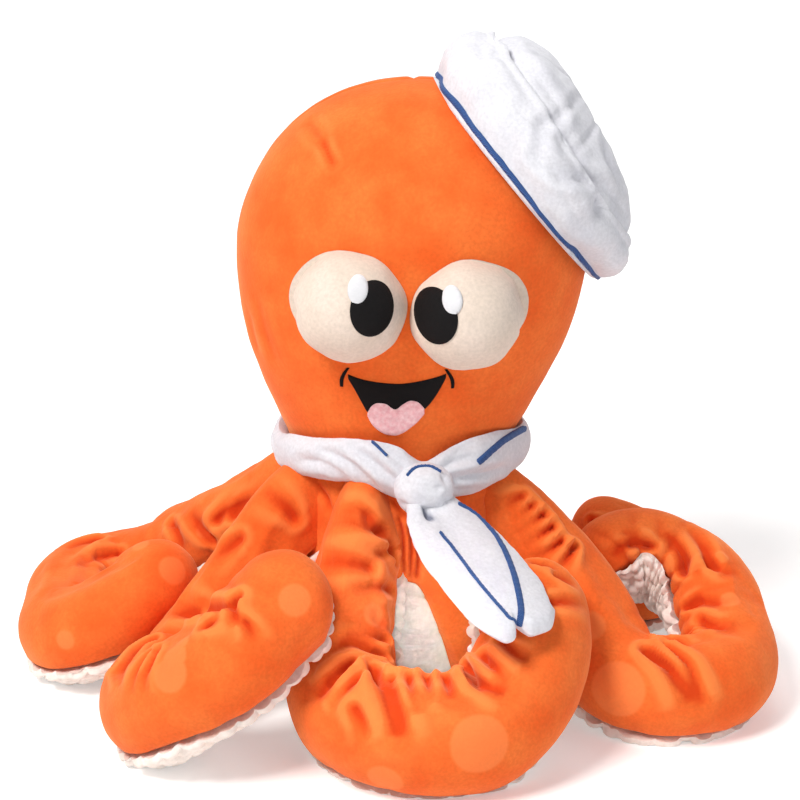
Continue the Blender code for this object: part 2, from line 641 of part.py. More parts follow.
def neck_point(angle, height):
    """Point just off the neck, clear of the torso and of the flat facets of the head."""
    around = math.radians(angle)
    room = SEAM_GAP * 1.5
    torso = torso_radius(min(height, TORSO_HEIGHT)) + room
    place = Vector((torso * math.cos(around), torso * math.sin(around), height))
    if height < HEAD_BASE:
        return place
    rings = [HEAD_BASE + (HEAD_EQUATOR - HEAD_BASE) * row[0] for row in HEAD_LOWER_SHARES]
    above = next(index for index, ring in enumerate(rings) if ring > height)
    low, high = head_section(rings[above - 1]), head_section(rings[above])
    share = (height - rings[above - 1]) / (rings[above] - rings[above - 1])
    half_width, half_depth, middle = (a + (b - a) * share for a, b in zip(low, high))
    head = Vector((middle + (half_width + room) * math.cos(around),
                   (half_depth + room) * math.sin(around), height))
    return head if height > HEAD_BASE + SEAM_GAP or head.to_2d().length > place.to_2d().length else place


def scarf_reach():
    """Height of the scarf's edges above its middle."""
    return SCARF_HEIGHT / 2 * math.sin(math.radians(SCARF_OUTER_SPAN / 2))


def scarf_radius(angle):
    """Radius of the roll's middle line, never inside the neck that it goes round."""
    neck = neck_point(angle, TORSO_HEIGHT * SCARF_CENTRE_SHARE + scarf_reach())
    return max(TORSO_RADIUS * SCARF_RADIUS_SHARE, neck.to_2d().length)


def tail_frame(run):
    """Middle, across direction and up direction of the hanging tail at a run from the knot."""
    heading = math.radians(TAIL_HEADING)
    forward = Vector((math.cos(heading), math.sin(heading), 0))
    across = Vector((-forward.y, forward.x, 0)) * -1

    def middle(at):
        height = blend_table([(row[0], row[1]) for row in TAIL_SHARES], at)
        return knot_place() + forward * (TENTACLE_THICKNESS * at) + Vector((0, 0, TENTACLE_THICKNESS * height))

    step = 0.05
    along = (middle(run + step) - middle(run - step)).normalized()
    return middle(run), across, across.cross(along).normalized()


def knot_place():
    angle = math.radians(KNOT_ANGLE)
    reach = scarf_radius(KNOT_ANGLE) + SCARF_THICKNESS * KNOT_REACH_SHARE
    return Vector((reach * math.cos(angle), reach * math.sin(angle), TORSO_HEIGHT * KNOT_HEIGHT_SHARE))


def tail_half_height(across):
    return math.sqrt(max(1 - abs(across) ** 3, 0.0))


def tail_point(run, across, offset, side=1):
    """Point on the upper or lower face of the tail; across runs from -1 to 1."""
    middle, sideways, up = tail_frame(run)
    width = blend_table([(row[0], row[2]) for row in TAIL_SHARES], run) * TAIL_WIDTH / 2
    thick = blend_table([(row[0], row[3]) for row in TAIL_SHARES], run) * TAIL_THICKNESS / 2
    dent = TAIL_THICKNESS * TAIL_FOLD_SHARE * max(1 - abs(across) * 2.5, 0.0) * max(1 - run, 0.0)
    rise = (thick * tail_half_height(across) + offset - (dent if side > 0 else 0.0)) * side
    return middle + sideways * (width * across) + up * rise


def build_scarf(torso_cutter, head_cutter):
    white = material("white_plush", WHITE)
    blue = material("blue_thread", BLUE)
    middle = TORSO_HEIGHT * SCARF_CENTRE_SHARE
    half = (SCARF_THICKNESS, SCARF_HEIGHT / 2)
    angles = [360.0 * step / HEAD_SEGMENTS for step in range(HEAD_SEGMENTS)]
    rows = []
    for step in range(SCARF_SECTION_STEPS + 1):
        turn = SCARF_OUTER_SPAN * (step / SCARF_SECTION_STEPS - 0.5)
        rows.append([ring_point(angle, turn, scarf_radius(angle), half, middle) for angle in angles])
    reach = scarf_reach()
    first_ring = HEAD_BASE + (HEAD_EQUATOR - HEAD_BASE) * HEAD_LOWER_SHARES[1][0]
    for height in (middle + reach, first_ring, HEAD_BASE, middle - reach):
        rows.append([neck_point(angle, height) for angle in angles])
    band = add_object("scarf_band", *ring_solid(rows + [rows[0]]), white)
    knot = knot_place()
    turn = Matrix.Rotation(math.radians(KNOT_ANGLE + 90.0), 3, 'Z')
    knot_half = (KNOT_WIDTH / 2, KNOT_DEPTH / 2, KNOT_HEIGHT / 2)
    scarf_knot = add_object("scarf_knot", *solid_of_rows(ellipsoid_rows(knot, knot_half, 14, turn)), white)
    room = tuple(value + KNOT_CLEARANCE for value in knot_half)
    knot_cutter = mark_cutter(add_object(
        "knot_cutter", *solid_of_rows(ellipsoid_rows(knot, room, 14, turn)), None))
    cut(band, knot_cutter)
    cut(scarf_knot, torso_cutter)
    cut(scarf_knot, head_cutter)

    def band_stripe(name, start, end):
        sheets = []
        for offset in (SEAM_GAP * 2 + STITCH_HEIGHT, SEAM_GAP * 2):
            sized = (half[0] + offset, half[1] + offset)
            lines = []
            for step in range(6):
                share = step / 5
                angle = start[0] + (end[0] - start[0]) * share
                turn = start[1] + (end[1] - start[1]) * share
                wide = math.degrees(SCARF_STRIPE_WIDTH / SCARF_HEIGHT * 2)
                lines.append([ring_point(angle, turn + wide * (side - 0.5), scarf_radius(angle), sized, middle)
                              for side in (0.0, 0.5, 1.0)])
            sheets.append(lines)
        add_object(name, *shell_of_rows(*sheets, False), blue)

    band_stripe("scarf_stripe_left", (-107.0, 50.0), (-98.0, 22.0))
    band_stripe("scarf_stripe_right", (-14.0, 50.0), (-52.0, 26.0))

    hinge = knot.copy()
    rows = []
    for step in range(TAIL_STATIONS + 1):
        run = TAIL_SHARES[0][0] + (TAIL_SHARES[-1][0] - TAIL_SHARES[0][0]) * step / TAIL_STATIONS
        row = [tail_point(run, across, 0.0) for across in TAIL_ACROSS_SHARES]
        row += [tail_point(run, across, 0.0, -1) for across in TAIL_ACROSS_SHARES[-2:0:-1]]
        rows.append(row)
    tail = add_object("scarf_tail", *solid_of_rows(rows), white, hinge)
    cut(tail, knot_cutter)

    for name, lines in (("scarf_stripe_tail_left", TAIL_LEFT_STRIPE_SHARES),
                        ("scarf_stripe_tail_right", TAIL_RIGHT_STRIPE_SHARES)):
        sheets = []
        for offset in (SEAM_GAP * 2 + STITCH_HEIGHT, SEAM_GAP * 2):
            sheet = []
            for step in range(8):
                run = lines[0][0] + (lines[-1][0] - lines[0][0]) * step / 7
                across = blend_table(lines, run)
                wide = blend_table([(row[0], row[2]) for row in TAIL_SHARES], run) * TAIL_WIDTH / 2
                spread = SCARF_STRIPE_WIDTH / 2 / wide
                sheet.append([tail_point(run, across + spread * side, offset) for side in (-1, 1)])
            sheets.append(sheet)
        add_object(name, *shell_of_rows(*sheets, False), blue, hinge)

    sheets = []
    for offset in (SEAM_GAP * 2 + STITCH_HEIGHT, SEAM_GAP * 2):
        sheet = []
        sized = tuple(value + offset for value in knot_half)
        for step in range(7):
            across = math.radians(KNOT_STRIPE_FROM + (KNOT_STRIPE_TO - KNOT_STRIPE_FROM) * step / 6)
            line = []
            for side in (-1, 1):
                up = math.radians(KNOT_STRIPE_LEVEL) + side * SCARF_STRIPE_WIDTH / KNOT_HEIGHT
                x = sized[0] * math.sin(across) * math.cos(up)
                y = -sized[1] * math.cos(across) * math.cos(up)
                line.append(knot + turn @ Vector((x, y, sized[2] * math.sin(up))))
            sheet.append(line)
        sheets.append(sheet)
    add_object("scarf_stripe_knot", *shell_of_rows(*sheets, False), blue)


# Tentacles

def tentacle_path(plan):
    """Middle line of a tentacle as (point, run length) pairs, from inside the torso to the tip."""
    azimuth, heading = math.radians(plan["azimuth"]), math.radians(plan["heading"])
    x = TORSO_RADIUS * TENTACLE_START_SHARE * math.cos(azimuth)
    y = TORSO_RADIUS * TENTACLE_START_SHARE * math.sin(azimuth)
    step_share = 0.05
    run, line = 0.0, []
    lie = LIE_SHARE * plan["fullness_share"]

    lowest = min(plan["lift_shares"], key=lambda row: row[1])[0]

    def add():
        unit = TORSO_HEIGHT * ROOT_LIFT_SHARE if run < lowest else TENTACLE_THICKNESS
        lift = max(blend_table(plan["lift_shares"], run), 0.0) * unit
        line.append((Vector((x, y, TENTACLE_THICKNESS * lie + lift)), run))

    add()
    for length, turn in plan["run_shares"]:
        steps = max(round(length / step_share), 1)
        for _ in range(steps):
            half_turn = math.radians(turn) / steps / 2
            heading += half_turn
            x += TENTACLE_THICKNESS * length / steps * math.cos(heading)
            y += TENTACLE_THICKNESS * length / steps * math.sin(heading)
            heading += half_turn
            run += length / steps
            add()
    return line


def tentacle_stations(plan):
    """Rings along a tentacle: middle, side and up directions, run and tip factor."""
    line = tentacle_path(plan)
    lengths = [0.0]
    for (a, _), (b, _) in zip(line, line[1:]):
        lengths.append(lengths[-1] + (b - a).length)
    total = lengths[-1]
    tip = TENTACLE_THICKNESS * TIP_LENGTH_SHARE * plan["fullness_share"]
    body_rings = round((total - tip) / (TENTACLE_THICKNESS * RING_SPACING_SHARE))
    places = [((total - tip) * ring / body_rings, 0.0) for ring in range(body_rings + 1)]
    places += [(total - tip, angle) for angle in (34.0, 62.0, 90.0)]
    stations = []
    for place, tip_angle in places:
        along = place + tip * math.sin(math.radians(tip_angle))
        index = min(max(next((i for i, s in enumerate(lengths) if s >= along), len(line) - 1), 1), len(line) - 1)
        span = lengths[index] - lengths[index - 1]
        share = (along - lengths[index - 1]) / span
        middle = line[index - 1][0].lerp(line[index][0], share)
        run = line[index - 1][1] + (line[index][1] - line[index - 1][1]) * share
        back, ahead = max(index - 4, 0), min(index + 3, len(line) - 1)
        forward = (line[ahead][0] - line[back][0]).normalized()
        side = forward.cross(Vector((0, 0, 1))).normalized()
        up = side.cross(forward)
        stations.append((middle, forward, side, up, run, tip_angle))
    return stations


def tentacle_rows(plan, stations, inset, angles, shift, lowest):
    """Rings of points round a tentacle at the given section angles, kept above a height."""
    rows = []
    for middle, forward, side, up, run, tip_angle in stations:
        round_share = math.cos(math.radians(tip_angle))
        full = TENTACLE_THICKNESS / 2 * plan["fullness_share"]
        width = full * blend_table(WIDTH_SHARES, run) - inset
        tall = ROOT_HEIGHT_SHARE if run < ROOT_HEIGHT_RUN_SHARE else 0.0
        height = full * max(blend_table(WIDTH_SHARES, run), tall) - inset
        roll = math.radians(-blend_table(plan["roll_shares"], run))
        sunk = middle - forward * (inset * math.sin(math.radians(tip_angle)))
        away = side * math.cos(roll - math.pi / 2) + up * math.sin(roll - math.pi / 2)
        sunk = sunk + away * shift
        if tip_angle == 90.0:
            rows.append([sunk])
            continue
        row = []
        for angle in angles:
            turn = math.radians(angle) + roll
            point = sunk + side * (width * round_share * math.cos(turn)) + up * (height * round_share * math.sin(turn))
            point.z = max(point.z, lowest)
            row.append(point)
        rows.append(row)
    return rows


def hinge_place(plan, stations):
    """Place on the torso above the root of a tentacle, where it swings up."""
    crossing = next(middle for middle, *_ in stations if middle.to_2d().length > TORSO_RADIUS)
    azimuth = math.atan2(crossing.y, crossing.x)
    lift = TORSO_HEIGHT * ROOT_LIFT_SHARE * blend_table(plan["lift_shares"], ROOT_RUN_SHARE)
    height = TENTACLE_THICKNESS * (LIE_SHARE * plan["fullness_share"] + ROOT_TOP_SHARE) + lift
    return Vector((TORSO_RADIUS * math.cos(azimuth), TORSO_RADIUS * math.sin(azimuth), height))


def build_tentacle(plan, torso_cutter):
    name = plan["name"]
    stations = tentacle_stations(plan)
    hinge = hinge_place(plan, stations)
    seam = plan["outer_seam"]
    top_span = 360.0 - UNDERSIDE_SPAN
    top_angles = [seam + top_span * step / TOP_SECTION_STEPS for step in range(TOP_SECTION_STEPS + 1)]
    low_start = seam + top_span
    low_angles = [low_start + UNDERSIDE_SPAN * step / UNDERSIDE_SECTION_STEPS
                  for step in range(UNDERSIDE_SECTION_STEPS + 1)]
    seam_shift = SEAM_GAP * 0.6
    for part, angles, shift, finish in (
            ("top", top_angles, -seam_shift, material("orange_plush", ORANGE)),
            ("underside", low_angles, seam_shift, material("nubby_fleece", NUBBY_CREAM))):
        outer = tentacle_rows(plan, stations, 0.0, angles, shift, 0.0)
        inner = tentacle_rows(plan, stations, CLOTH, angles, shift, CLOTH)
        skin = add_object(f"tentacle_{name}_{part}", *shell_of_rows(outer, inner, False), finish, hinge)
        cut(skin, torso_cutter)
    core_angles = top_angles[:-1] + low_angles[:-1]
    core = tentacle_rows(plan, stations, CLOTH + CORE_GAP, core_angles, 0.0, CLOTH + CORE_GAP)
    stuffing = add_object(f"tentacle_{name}_stuffing", *solid_of_rows(core),
                          material("fibre_fill", FILL), hinge)
    cut(stuffing, torso_cutter)


def main():
    clear_scene()
    torso_cutter = build_torso()
    head_cutter = build_head()
    build_eye("left", -1, LEFT_EYE_HEIGHT_SHARE, LEFT_PUPIL_SHARES, LEFT_GLINT_SHARES, head_cutter)
    build_eye("right", 1, RIGHT_EYE_HEIGHT_SHARE, RIGHT_PUPIL_SHARES, RIGHT_GLINT_SHARES, head_cutter)
    build_mouth()
    build_cap(head_cutter)
    build_scarf(torso_cutter, head_cutter)
    for plan in TENTACLES:
        build_tentacle(plan, torso_cutter)


main()
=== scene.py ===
"""Plush octopus with a sailor cap and a neckerchief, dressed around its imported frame.

Units are metres, +Z is up and the toy looks along -Y. The shapes follow the part's own solids:
the same paths, sections and tables, drawn with finer grids, folds, seams and nubs.
"""

import math

import bpy
import numpy as np
from mathutils import Matrix, Vector
from mathutils.bvhtree import BVHTree


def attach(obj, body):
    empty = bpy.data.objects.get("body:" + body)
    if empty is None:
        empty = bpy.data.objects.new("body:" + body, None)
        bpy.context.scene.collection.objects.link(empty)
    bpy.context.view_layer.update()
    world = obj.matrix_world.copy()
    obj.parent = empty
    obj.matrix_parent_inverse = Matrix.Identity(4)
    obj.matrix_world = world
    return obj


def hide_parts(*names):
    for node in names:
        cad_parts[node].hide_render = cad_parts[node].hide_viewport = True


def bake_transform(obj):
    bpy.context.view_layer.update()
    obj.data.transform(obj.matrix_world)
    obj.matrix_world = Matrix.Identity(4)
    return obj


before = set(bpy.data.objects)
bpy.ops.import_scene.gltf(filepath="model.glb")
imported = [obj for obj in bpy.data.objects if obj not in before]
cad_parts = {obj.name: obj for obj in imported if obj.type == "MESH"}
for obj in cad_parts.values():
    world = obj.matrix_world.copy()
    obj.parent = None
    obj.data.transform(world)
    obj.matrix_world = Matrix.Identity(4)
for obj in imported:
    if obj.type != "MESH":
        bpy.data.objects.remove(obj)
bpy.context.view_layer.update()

MM = 0.001
SHARP_ANGLE = 55.0
# Air between the panels at a seam, between pieces that lie on each other, and under a stitched patch
SEAM_GAP, CLOTH_GAP, PATCH_GAP = 0.3 * MM, 0.4 * MM, 0.1 * MM

# Coarse grids of the tentacles' cloth: spacing along, columns round, the column of the inner seam, greatest stretch,
# frames of the solver, and a soft limit on how far a point moves
CLOTH_SPACING, CLOTH_COLUMNS, CLOTH_SEAM, CLOTH_GROWTH, CLOTH_FRAMES, CLOTH_REACH = 3.0 * MM, 48, 32, 0.5, 20, 5.0 * MM

# Camera, at the photograph's viewing angle
TARGET = Vector((0.0, 0.0, 0.120))
ELEVATION = 18.0
DISTANCE = 0.9
PIXEL = 0.00042           # metres at the target for each pixel of the 800 pixel frame
FRAME_PIXELS = 800
SENSOR = 36.0

# Torso, head and cap, as in the part
TORSO_RADIUS, TORSO_HEIGHT, BASE_THICKNESS = 0.050, 0.1022, 0.002
TORSO_PROFILE = ((0.0, 0.80), (0.14, 0.86), (0.32, 0.95), (0.50, 1.0), (0.68, 1.0), (0.84, 0.96), (1.0, 0.90))
BELLY_SHARE = 0.55
HEAD_WIDTH, HEAD_DEPTH, HEAD_HEIGHT, HEAD_LEAN, DOME_LEAN_SHARE = 0.1450, 0.1120, 0.1530, 0.0055, 0.45
HEAD_BASE = TORSO_HEIGHT + SEAM_GAP
HEAD_EQUATOR = HEAD_BASE + HEAD_HEIGHT * 0.5907
HEAD_TOP = HEAD_BASE + HEAD_HEIGHT
HEAD_LOWER = ((0.0, 0.638, 0.775), (0.06, 0.65, 0.785), (0.18, 0.725, 0.815), (0.345, 0.823, 0.865),
              (0.50, 0.903, 0.92), (0.66, 0.96, 0.965), (0.83, 0.99, 0.99), (1.0, 1.0, 1.0))
EYE_HALF = (0.0223, 0.0240, 0.02215)
EYE_BACK = -0.92 * HEAD_DEPTH / 2
EYE_MEETING = 0.046 * HEAD_WIDTH / 2
# Half width and half depth shares, height share, and turns about Z and Y in degrees
CAP_PLACE, CAP_TURNS = (0.57, 0.035, 0.7321), (4.0, 50.6)
CAP_RADIUS, CAP_BAND_WIDTH, CAP_RISE, CAP_CROWN_RADIUS, CAP_SLOPE = 0.0575, 0.0225, 0.0170, 0.0480, 0.24

# Neckerchief
SCARF_RADIUS, SCARF_HALF = TORSO_RADIUS * 0.985, (0.0050, 0.0100)
KNOT_ANGLE = -80.0
KNOT_HALF = (0.0120, 0.0095, 0.0110)
TAIL_WIDTH, TAIL_THICKNESS, TAIL_HEADING = 0.042, 0.0075, -57.0
# Run along the hanging tail in tentacle thicknesses, with its drop in thicknesses and its width share
TAIL_LINE = (
    (0.0, -0.08, 0.46), (0.22, -0.20, 0.70), (0.50, -0.32, 0.90), (0.80, -0.44, 0.97), (1.10, -0.57, 0.97),
    (1.35, -0.70, 0.88), (1.52, -0.80, 0.68), (1.60, -0.85, 0.46),
)

# Tentacles: thickness, and where their roots bend, as shares of the torso's radius and a height
THICK = 0.044
TIP_SHARE, LIE_SHARE, START_SHARE, TOP_SPAN = 0.42, 0.465, 0.60, 240.0
WIDTHS = ((0.0, 0.56), (0.45, 0.68), (0.73, 0.80), (1.10, 0.95), (1.4, 1.0), (4.0, 1.0), (6.0, 0.88))
PLANS = dict(
    left=dict(
        azimuth=173, heading=148, full=0.93, seam=-37,
        runs=((1.32, -4), (0.90, 24), (1.11, 105), (0.63, 0), (1.42, 170), (0.22, 0)),
        lift=((0, 1.12), (0.5, 1.04), (1.25, 0.66), (1.95, 0.18), (2.6, 0), (4.05, 0), (5.0, 0.40), (5.75, 0.70)),
        roll=((0, 0), (5.6, 0))),
    front_left=dict(
        azimuth=-143, heading=-160, full=0.98, seam=-49,
        runs=((1.05, 5), (0.84, 38), (0.14, 0), (1.62, 155), (0.72, 0)),
        lift=((0, 1.25), (0.5, 1.12), (0.95, 0.68), (1.36, 0.26), (1.9, 0), (2.45, 0), (3.1, 0.42), (4.2, 1.10)),
        roll=((0, 0), (4, 0))),
    front=dict(
        azimuth=-109, heading=-108, full=1.05, seam=-48,
        runs=((0.84, 0), (2.72, 180), (0.74, 66)),
        lift=((0, 1.20), (0.5, 0.96), (0.84, 0.58), (1.25, 0.14), (1.6, 0), (2.7, 0), (3.3, 0.26), (4.14, 0.80)),
        roll=((0, 0), (4.3, 25))),
    front_right=dict(
        azimuth=-38, heading=-12, full=0.93, seam=-34,
        runs=((0.81, -4), (0.80, -52), (1.80, 165), (0.46, 0), (1.0, 92), (0.62, 70)),
        lift=((0, 1.22), (0.5, 1.12), (1.0, 0.78), (1.4, 0.36), (1.9, 0.03), (2.95, 0), (3.60, 0.18),
              (4.40, 0.52), (4.95, 0.66), (5.45, 0.55)),
        roll=((0, 0), (2, 10), (4, 40), (5.7, 50))),
    right=dict(
        azimuth=12, heading=20, full=0.86, seam=-30, runs=((1.86, 6), (1.50, 160), (0.27, 0)),
        lift=((0, 1.0), (0.5, 0.74), (0.95, 0.26), (1.35, 0), (2.6, 0.03), (3.6, 0.22)), roll=((0, 0), (3.5, 0))),
    back_right=dict(
        azimuth=52, heading=66, full=0.86, seam=-30, runs=((2.23, 20), (1.50, 160), (0.59, 0)),
        lift=((0, 1.15), (0.5, 0.90), (1.14, 0.24), (1.5, 0), (2.3, 0.04), (2.95, 0.54), (3.4, 0.93), (4.3, 1.0)),
        roll=((0, 0), (4.3, 0))),
    back=dict(
        azimuth=92, heading=89, full=0.86, seam=-30, runs=((1.73, 2), (1.05, 110), (0.32, 0)),
        lift=((0, 1.15), (0.5, 0.90), (1.14, 0.24), (1.5, 0), (3.1, 0)), roll=((0, 0), (3.1, 0))),
    back_left=dict(
        azimuth=132, heading=118, full=0.84, seam=-30, runs=((1.92, 0), (1.41, 150), (0.23, 0)),
        lift=((0, 1.15), (0.5, 0.90), (1.14, 0.24), (1.5, 0), (3.6, 0)), roll=((0, 0), (3.6, 0))),
)
# Printed spots, as places in the photograph's frame with a radius in pixels; the last three on the front left tentacle
# together paint a drop-shaped highlight
SPOTS_AND_HIGHLIGHT = dict(
    left=((173, 570, 15), (140, 545, 9), (115, 560, 9), (65, 640, 10), (205, 530, 9)),
    front_left=((295, 600, 15), (170, 674, 17), (174, 657, 13), (182, 642, 8)),
    front=((480, 745, 27), (385, 780, 17), (373, 615, 11)),
    front_right=((617, 690, 27), (730, 600, 10)),
)
# Folds seen in the photograph: depth and half width in millimetres, then a line of its pixels
CREASES = dict(
    left=(
        (2.0, 2.0, 190, 512, 199, 528, 213, 541), (1.5, 1.8, 66, 548, 84, 541, 100, 538),
        (1.8, 2.4, 214, 522, 228, 508, 250, 500), (1.4, 1.8, 75, 566, 98, 556, 120, 552),
        (1.4, 1.8, 170, 522, 178, 536, 183, 548), (1.4, 2.0, 232, 517, 243, 507, 262, 499)),
    front_left=(
        (1.9, 1.6, 119, 686, 123, 667, 137, 647, 154, 638), (1.7, 1.5, 131, 694, 137, 671, 150, 652),
        (1.6, 1.5, 142, 694, 145, 674, 158, 648), (1.4, 1.5, 112, 668, 121, 652, 134, 638),
        (2.6, 2.0, 177, 600, 199, 608, 220, 606, 238, 597), (2.2, 1.6, 232, 604, 235, 614, 238, 626),
        (1.6, 2.0, 204, 626, 222, 616, 240, 612), (1.8, 1.8, 150, 622, 170, 612, 196, 616),
        (1.3, 1.6, 245, 620, 252, 632, 254, 642), (1.7, 2.2, 262, 489, 285, 506, 296, 520),
        (1.4, 2.2, 205, 560, 222, 552, 240, 538)),
    front=(
        (2.2, 2.2, 312, 535, 331, 522, 360, 523, 384, 535), (1.7, 2.2, 318, 562, 350, 563, 372, 569),
        (2.2, 2.0, 364, 510, 386, 532, 395, 560), (1.5, 1.8, 340, 510, 357, 508, 372, 518),
        (1.6, 1.5, 372, 556, 384, 552, 396, 549), (1.3, 2.0, 352, 590, 374, 586, 392, 590),
        (2.4, 1.8, 329, 652, 346, 643, 368, 647, 386, 656), (3.2, 2.2, 316, 697, 330, 682, 354, 662),
        (2.0, 1.8, 328, 706, 344, 690, 362, 672), (3.4, 2.0, 372, 668, 382, 684, 389, 712, 396, 736),
        (2.6, 2.0, 392, 676, 399, 706, 401, 738), (2.6, 1.9, 408, 676, 414, 697, 417, 716),
        (2.2, 1.8, 424, 672, 430, 690, 433, 704), (1.6, 1.6, 346, 632, 366, 634, 386, 640),
        (2.2, 1.9, 440, 664, 447, 684, 452, 700), (3.0, 1.9, 457, 652, 470, 674, 489, 686, 506, 693),
        (2.0, 1.6, 464, 664, 474, 680, 480, 692), (2.6, 1.8, 482, 655, 494, 668, 509, 680),
        (1.8, 1.6, 500, 640, 514, 652, 528, 660), (1.8, 1.6, 547, 602, 566, 601, 586, 606),
        (1.6, 1.6, 555, 574, 566, 579, 577, 586), (1.5, 1.8, 534, 562, 552, 566, 572, 580),
        (1.5, 2.0, 352, 706, 362, 720, 370, 738)),
    front_right=(
        (2.0, 1.7, 504, 508, 514, 501, 524, 496), (2.2, 1.7, 510, 521, 522, 513, 534, 505),
        (2.4, 1.8, 516, 535, 530, 525, 545, 514), (2.4, 1.8, 524, 548, 538, 538, 553, 526),
        (2.2, 1.7, 533, 560, 549, 551, 562, 541), (2.4, 1.5, 560, 567, 568, 556, 575, 546),
        (2.6, 1.8, 652, 546, 636, 541, 622, 530), (3.0, 2.0, 666, 531, 681, 551, 683, 572),
        (2.0, 2.0, 688, 528, 703, 547, 712, 566), (1.6, 2.0, 708, 560, 722, 570, 740, 572),
        (2.0, 1.8, 686, 606, 703, 600, 722, 602), (3.6, 2.2, 646, 650, 668, 665, 684, 689, 690, 704),
        (2.6, 1.8, 665, 645, 687, 662, 698, 686, 702, 706), (2.0, 1.8, 652, 634, 672, 640, 690, 646),
        (1.5, 2.0, 700, 618, 716, 626, 738, 628), (1.8, 1.6, 612, 558, 621, 548, 634, 544)),
    right=(
        (1.6, 1.6, 590, 520, 603, 526, 622, 528),),
)
HEAD_CREASES = (
    (1.5, 1.4, 322, 141, 327, 152, 333, 165), (1.0, 2.2, 309, 123, 316, 132, 323, 142),
    (0.8, 3.0, 250, 315, 254, 335, 258, 350), (0.7, 3.0, 258, 300, 264, 330, 276, 362),
)
CAP_CREASES = (
    (1.6, 2.4, 480, 39, 486, 55, 499, 55), (1.1, 2.6, 507, 57, 528, 69, 545, 82),
    (1.6, 2.2, 543, 85, 562, 110, 556, 118, 543, 125), (1.0, 1.6, 563, 114, 572, 104, 581, 94),
    (1.5, 2.4, 523, 112, 541, 134, 536, 154), (2.4, 2.4, 538, 157, 562, 174, 588, 181, 608, 190, 625, 213),
    (1.3, 2.4, 601, 121, 606, 153, 619, 188), (0.9, 2.6, 560, 190, 575, 215, 590, 235),
)
TORSO_CREASES = (
    (2.4, 1.0, 399, 518, 404, 542, 404, 574), (2.8, 1.0, 409, 526, 412, 552, 411, 577),
    (3.0, 1.0, 415, 540, 419, 558, 417, 578), (1.6, 1.2, 392, 500, 400, 512, 409, 520),
    (1.6, 1.8, 300, 492, 306, 505, 311, 518), (1.6, 1.5, 318, 486, 326, 498, 330, 510),
    (1.6, 1.5, 486, 498, 490, 512, 494, 530),
)
# Height of the seam between the orange cloth and the belly fleece, as a share, at degrees round the torso
BELLY_EDGE = (
    (-180, 1.0), (-95, 1.03), (-83, 1.02), (-79, 0.94), (-73, 0.72), (-67, 0.50), (-60, 0.26), (-53, 0.10), (-46, 0.06),
    (-32, 0.06), (-24, 0.20), (-14, 0.60), (-6, 0.95), (0, 1.0), (180, 1.0),
)
BELLY_CREASES = (
    (1.6, 1.6, 394, 601, 410, 597, 428, 601), (1.8, 1.6, 396, 632, 415, 637, 438, 634),
    (1.2, 1.4, 398, 647, 420, 651, 440, 646),
)
BAND_CREASES = (
    (1.5, 1.9, 300, 461, 322, 463, 344, 473), (2.2, 1.9, 318, 450, 336, 456, 354, 467, 374, 486),
    (1.8, 1.7, 348, 446, 370, 460, 394, 480), (1.3, 1.5, 382, 446, 396, 458, 406, 470),
    (1.8, 1.7, 440, 470, 452, 463, 472, 456), (2.0, 1.9, 441, 481, 462, 478, 484, 474, 506, 468),
    (1.3, 1.5, 446, 488, 460, 489, 478, 486), (1.2, 1.5, 452, 456, 462, 449, 474, 445),
)
# Heights of the neckerchief's upper and lower edge in millimetres, at degrees from the knot
BAND_TOP = (
    (-180, 111.0), (-120, 110.5), (-90, 109.8), (-65, 114.4), (-40, 118.0), (-29, 119.3), (-19, 119.0), (-11, 116.6),
    (-5, 112.6), (0, 110.5), (3, 110.8), (9, 113.5), (17, 116.3), (27, 117.7), (42, 117.1), (70, 113.0), (120, 110.5),
    (180, 111.0),
)
BAND_FOOT = (
    (-180, 93.6), (-120, 94.5), (-82, 96.0), (-57, 98.4), (-44, 99.8), (-35, 101.0), (-28, 101.4), (-21, 99.2),
    (-14, 96.2), (0, 93.5), (12, 94.6), (20, 93.8), (32, 94.1), (41, 94.9), (50, 95.3), (62, 96.4), (90, 95.0),
    (120, 94.0), (180, 93.6),
)
# Satin stripes on the neckerchief: width in millimetres, then a line of the photograph's pixels
BAND_STRIPES = dict(left=(1.3, 368, 438, 377, 446, 387, 456), right=(2.9, 525, 428, 503, 441, 478, 463))
TAIL_STRIPES = dict(
    left=(1.5, 440, 532, 457, 553, 477, 580, 500, 607, 518, 626),
    right=(2.6, 458, 503, 477, 515, 497, 537, 510, 563, 518, 590, 521, 612, 519, 626),
)
KNOT_STRIPE = (1.6, 407, 476, 415, 468, 428, 466, 441, 472)
# Further spots out of the photograph's sight: run and section angle, radius in millimetres
HIDDEN_SPOTS = dict(
    right=((2.6, 60, 9), (1.5, 110, 6)), back_right=((1.7, 95, 8), (3.3, 70, 10)),
    back=((1.6, 60, 9), (2.6, 120, 7)), back_left=((1.5, 110, 7), (2.7, 70, 10)),
    left=((2.4, 30, 8),), front_right=((1.5, 60, 6),),
)


# Numbers and grids

def spline(rows, at, column=1):
    """Values of rows that start with a place, at an array of places, on a smooth curve through one column."""
    x = np.array([row[0] for row in rows], float)
    y = np.array([row[column] for row in rows], float)
    slope = np.zeros(len(x))
    rise = np.diff(y)
    inner = (y[2:] - y[:-2]) / (x[2:] - x[:-2])
    slope[1:-1] = np.where(rise[:-1] * rise[1:] <= 0, 0.0, inner)
    at = np.clip(np.asarray(at, float), x[0], x[-1])
    row = np.clip(np.searchsorted(x, at) - 1, 0, len(x) - 2)
    span = x[row + 1] - x[row]
    part = (at - x[row]) / span
    ease = part * part * (3 - 2 * part)
    return (y[row] + rise[row] * ease + part * (1 - part) ** 2 * slope[row] * span
            - part * part * (1 - part) * slope[row + 1] * span)


def even_spline(values, at):
    """A smooth curve through values at even places from 0 to 1."""
    return spline(list(zip(np.linspace(0, 1, len(values)), values)), at)


def bell(gap, width):
    """A smooth hump of height 1 round a gap of 0."""
    return np.exp(-(gap / width) ** 2)


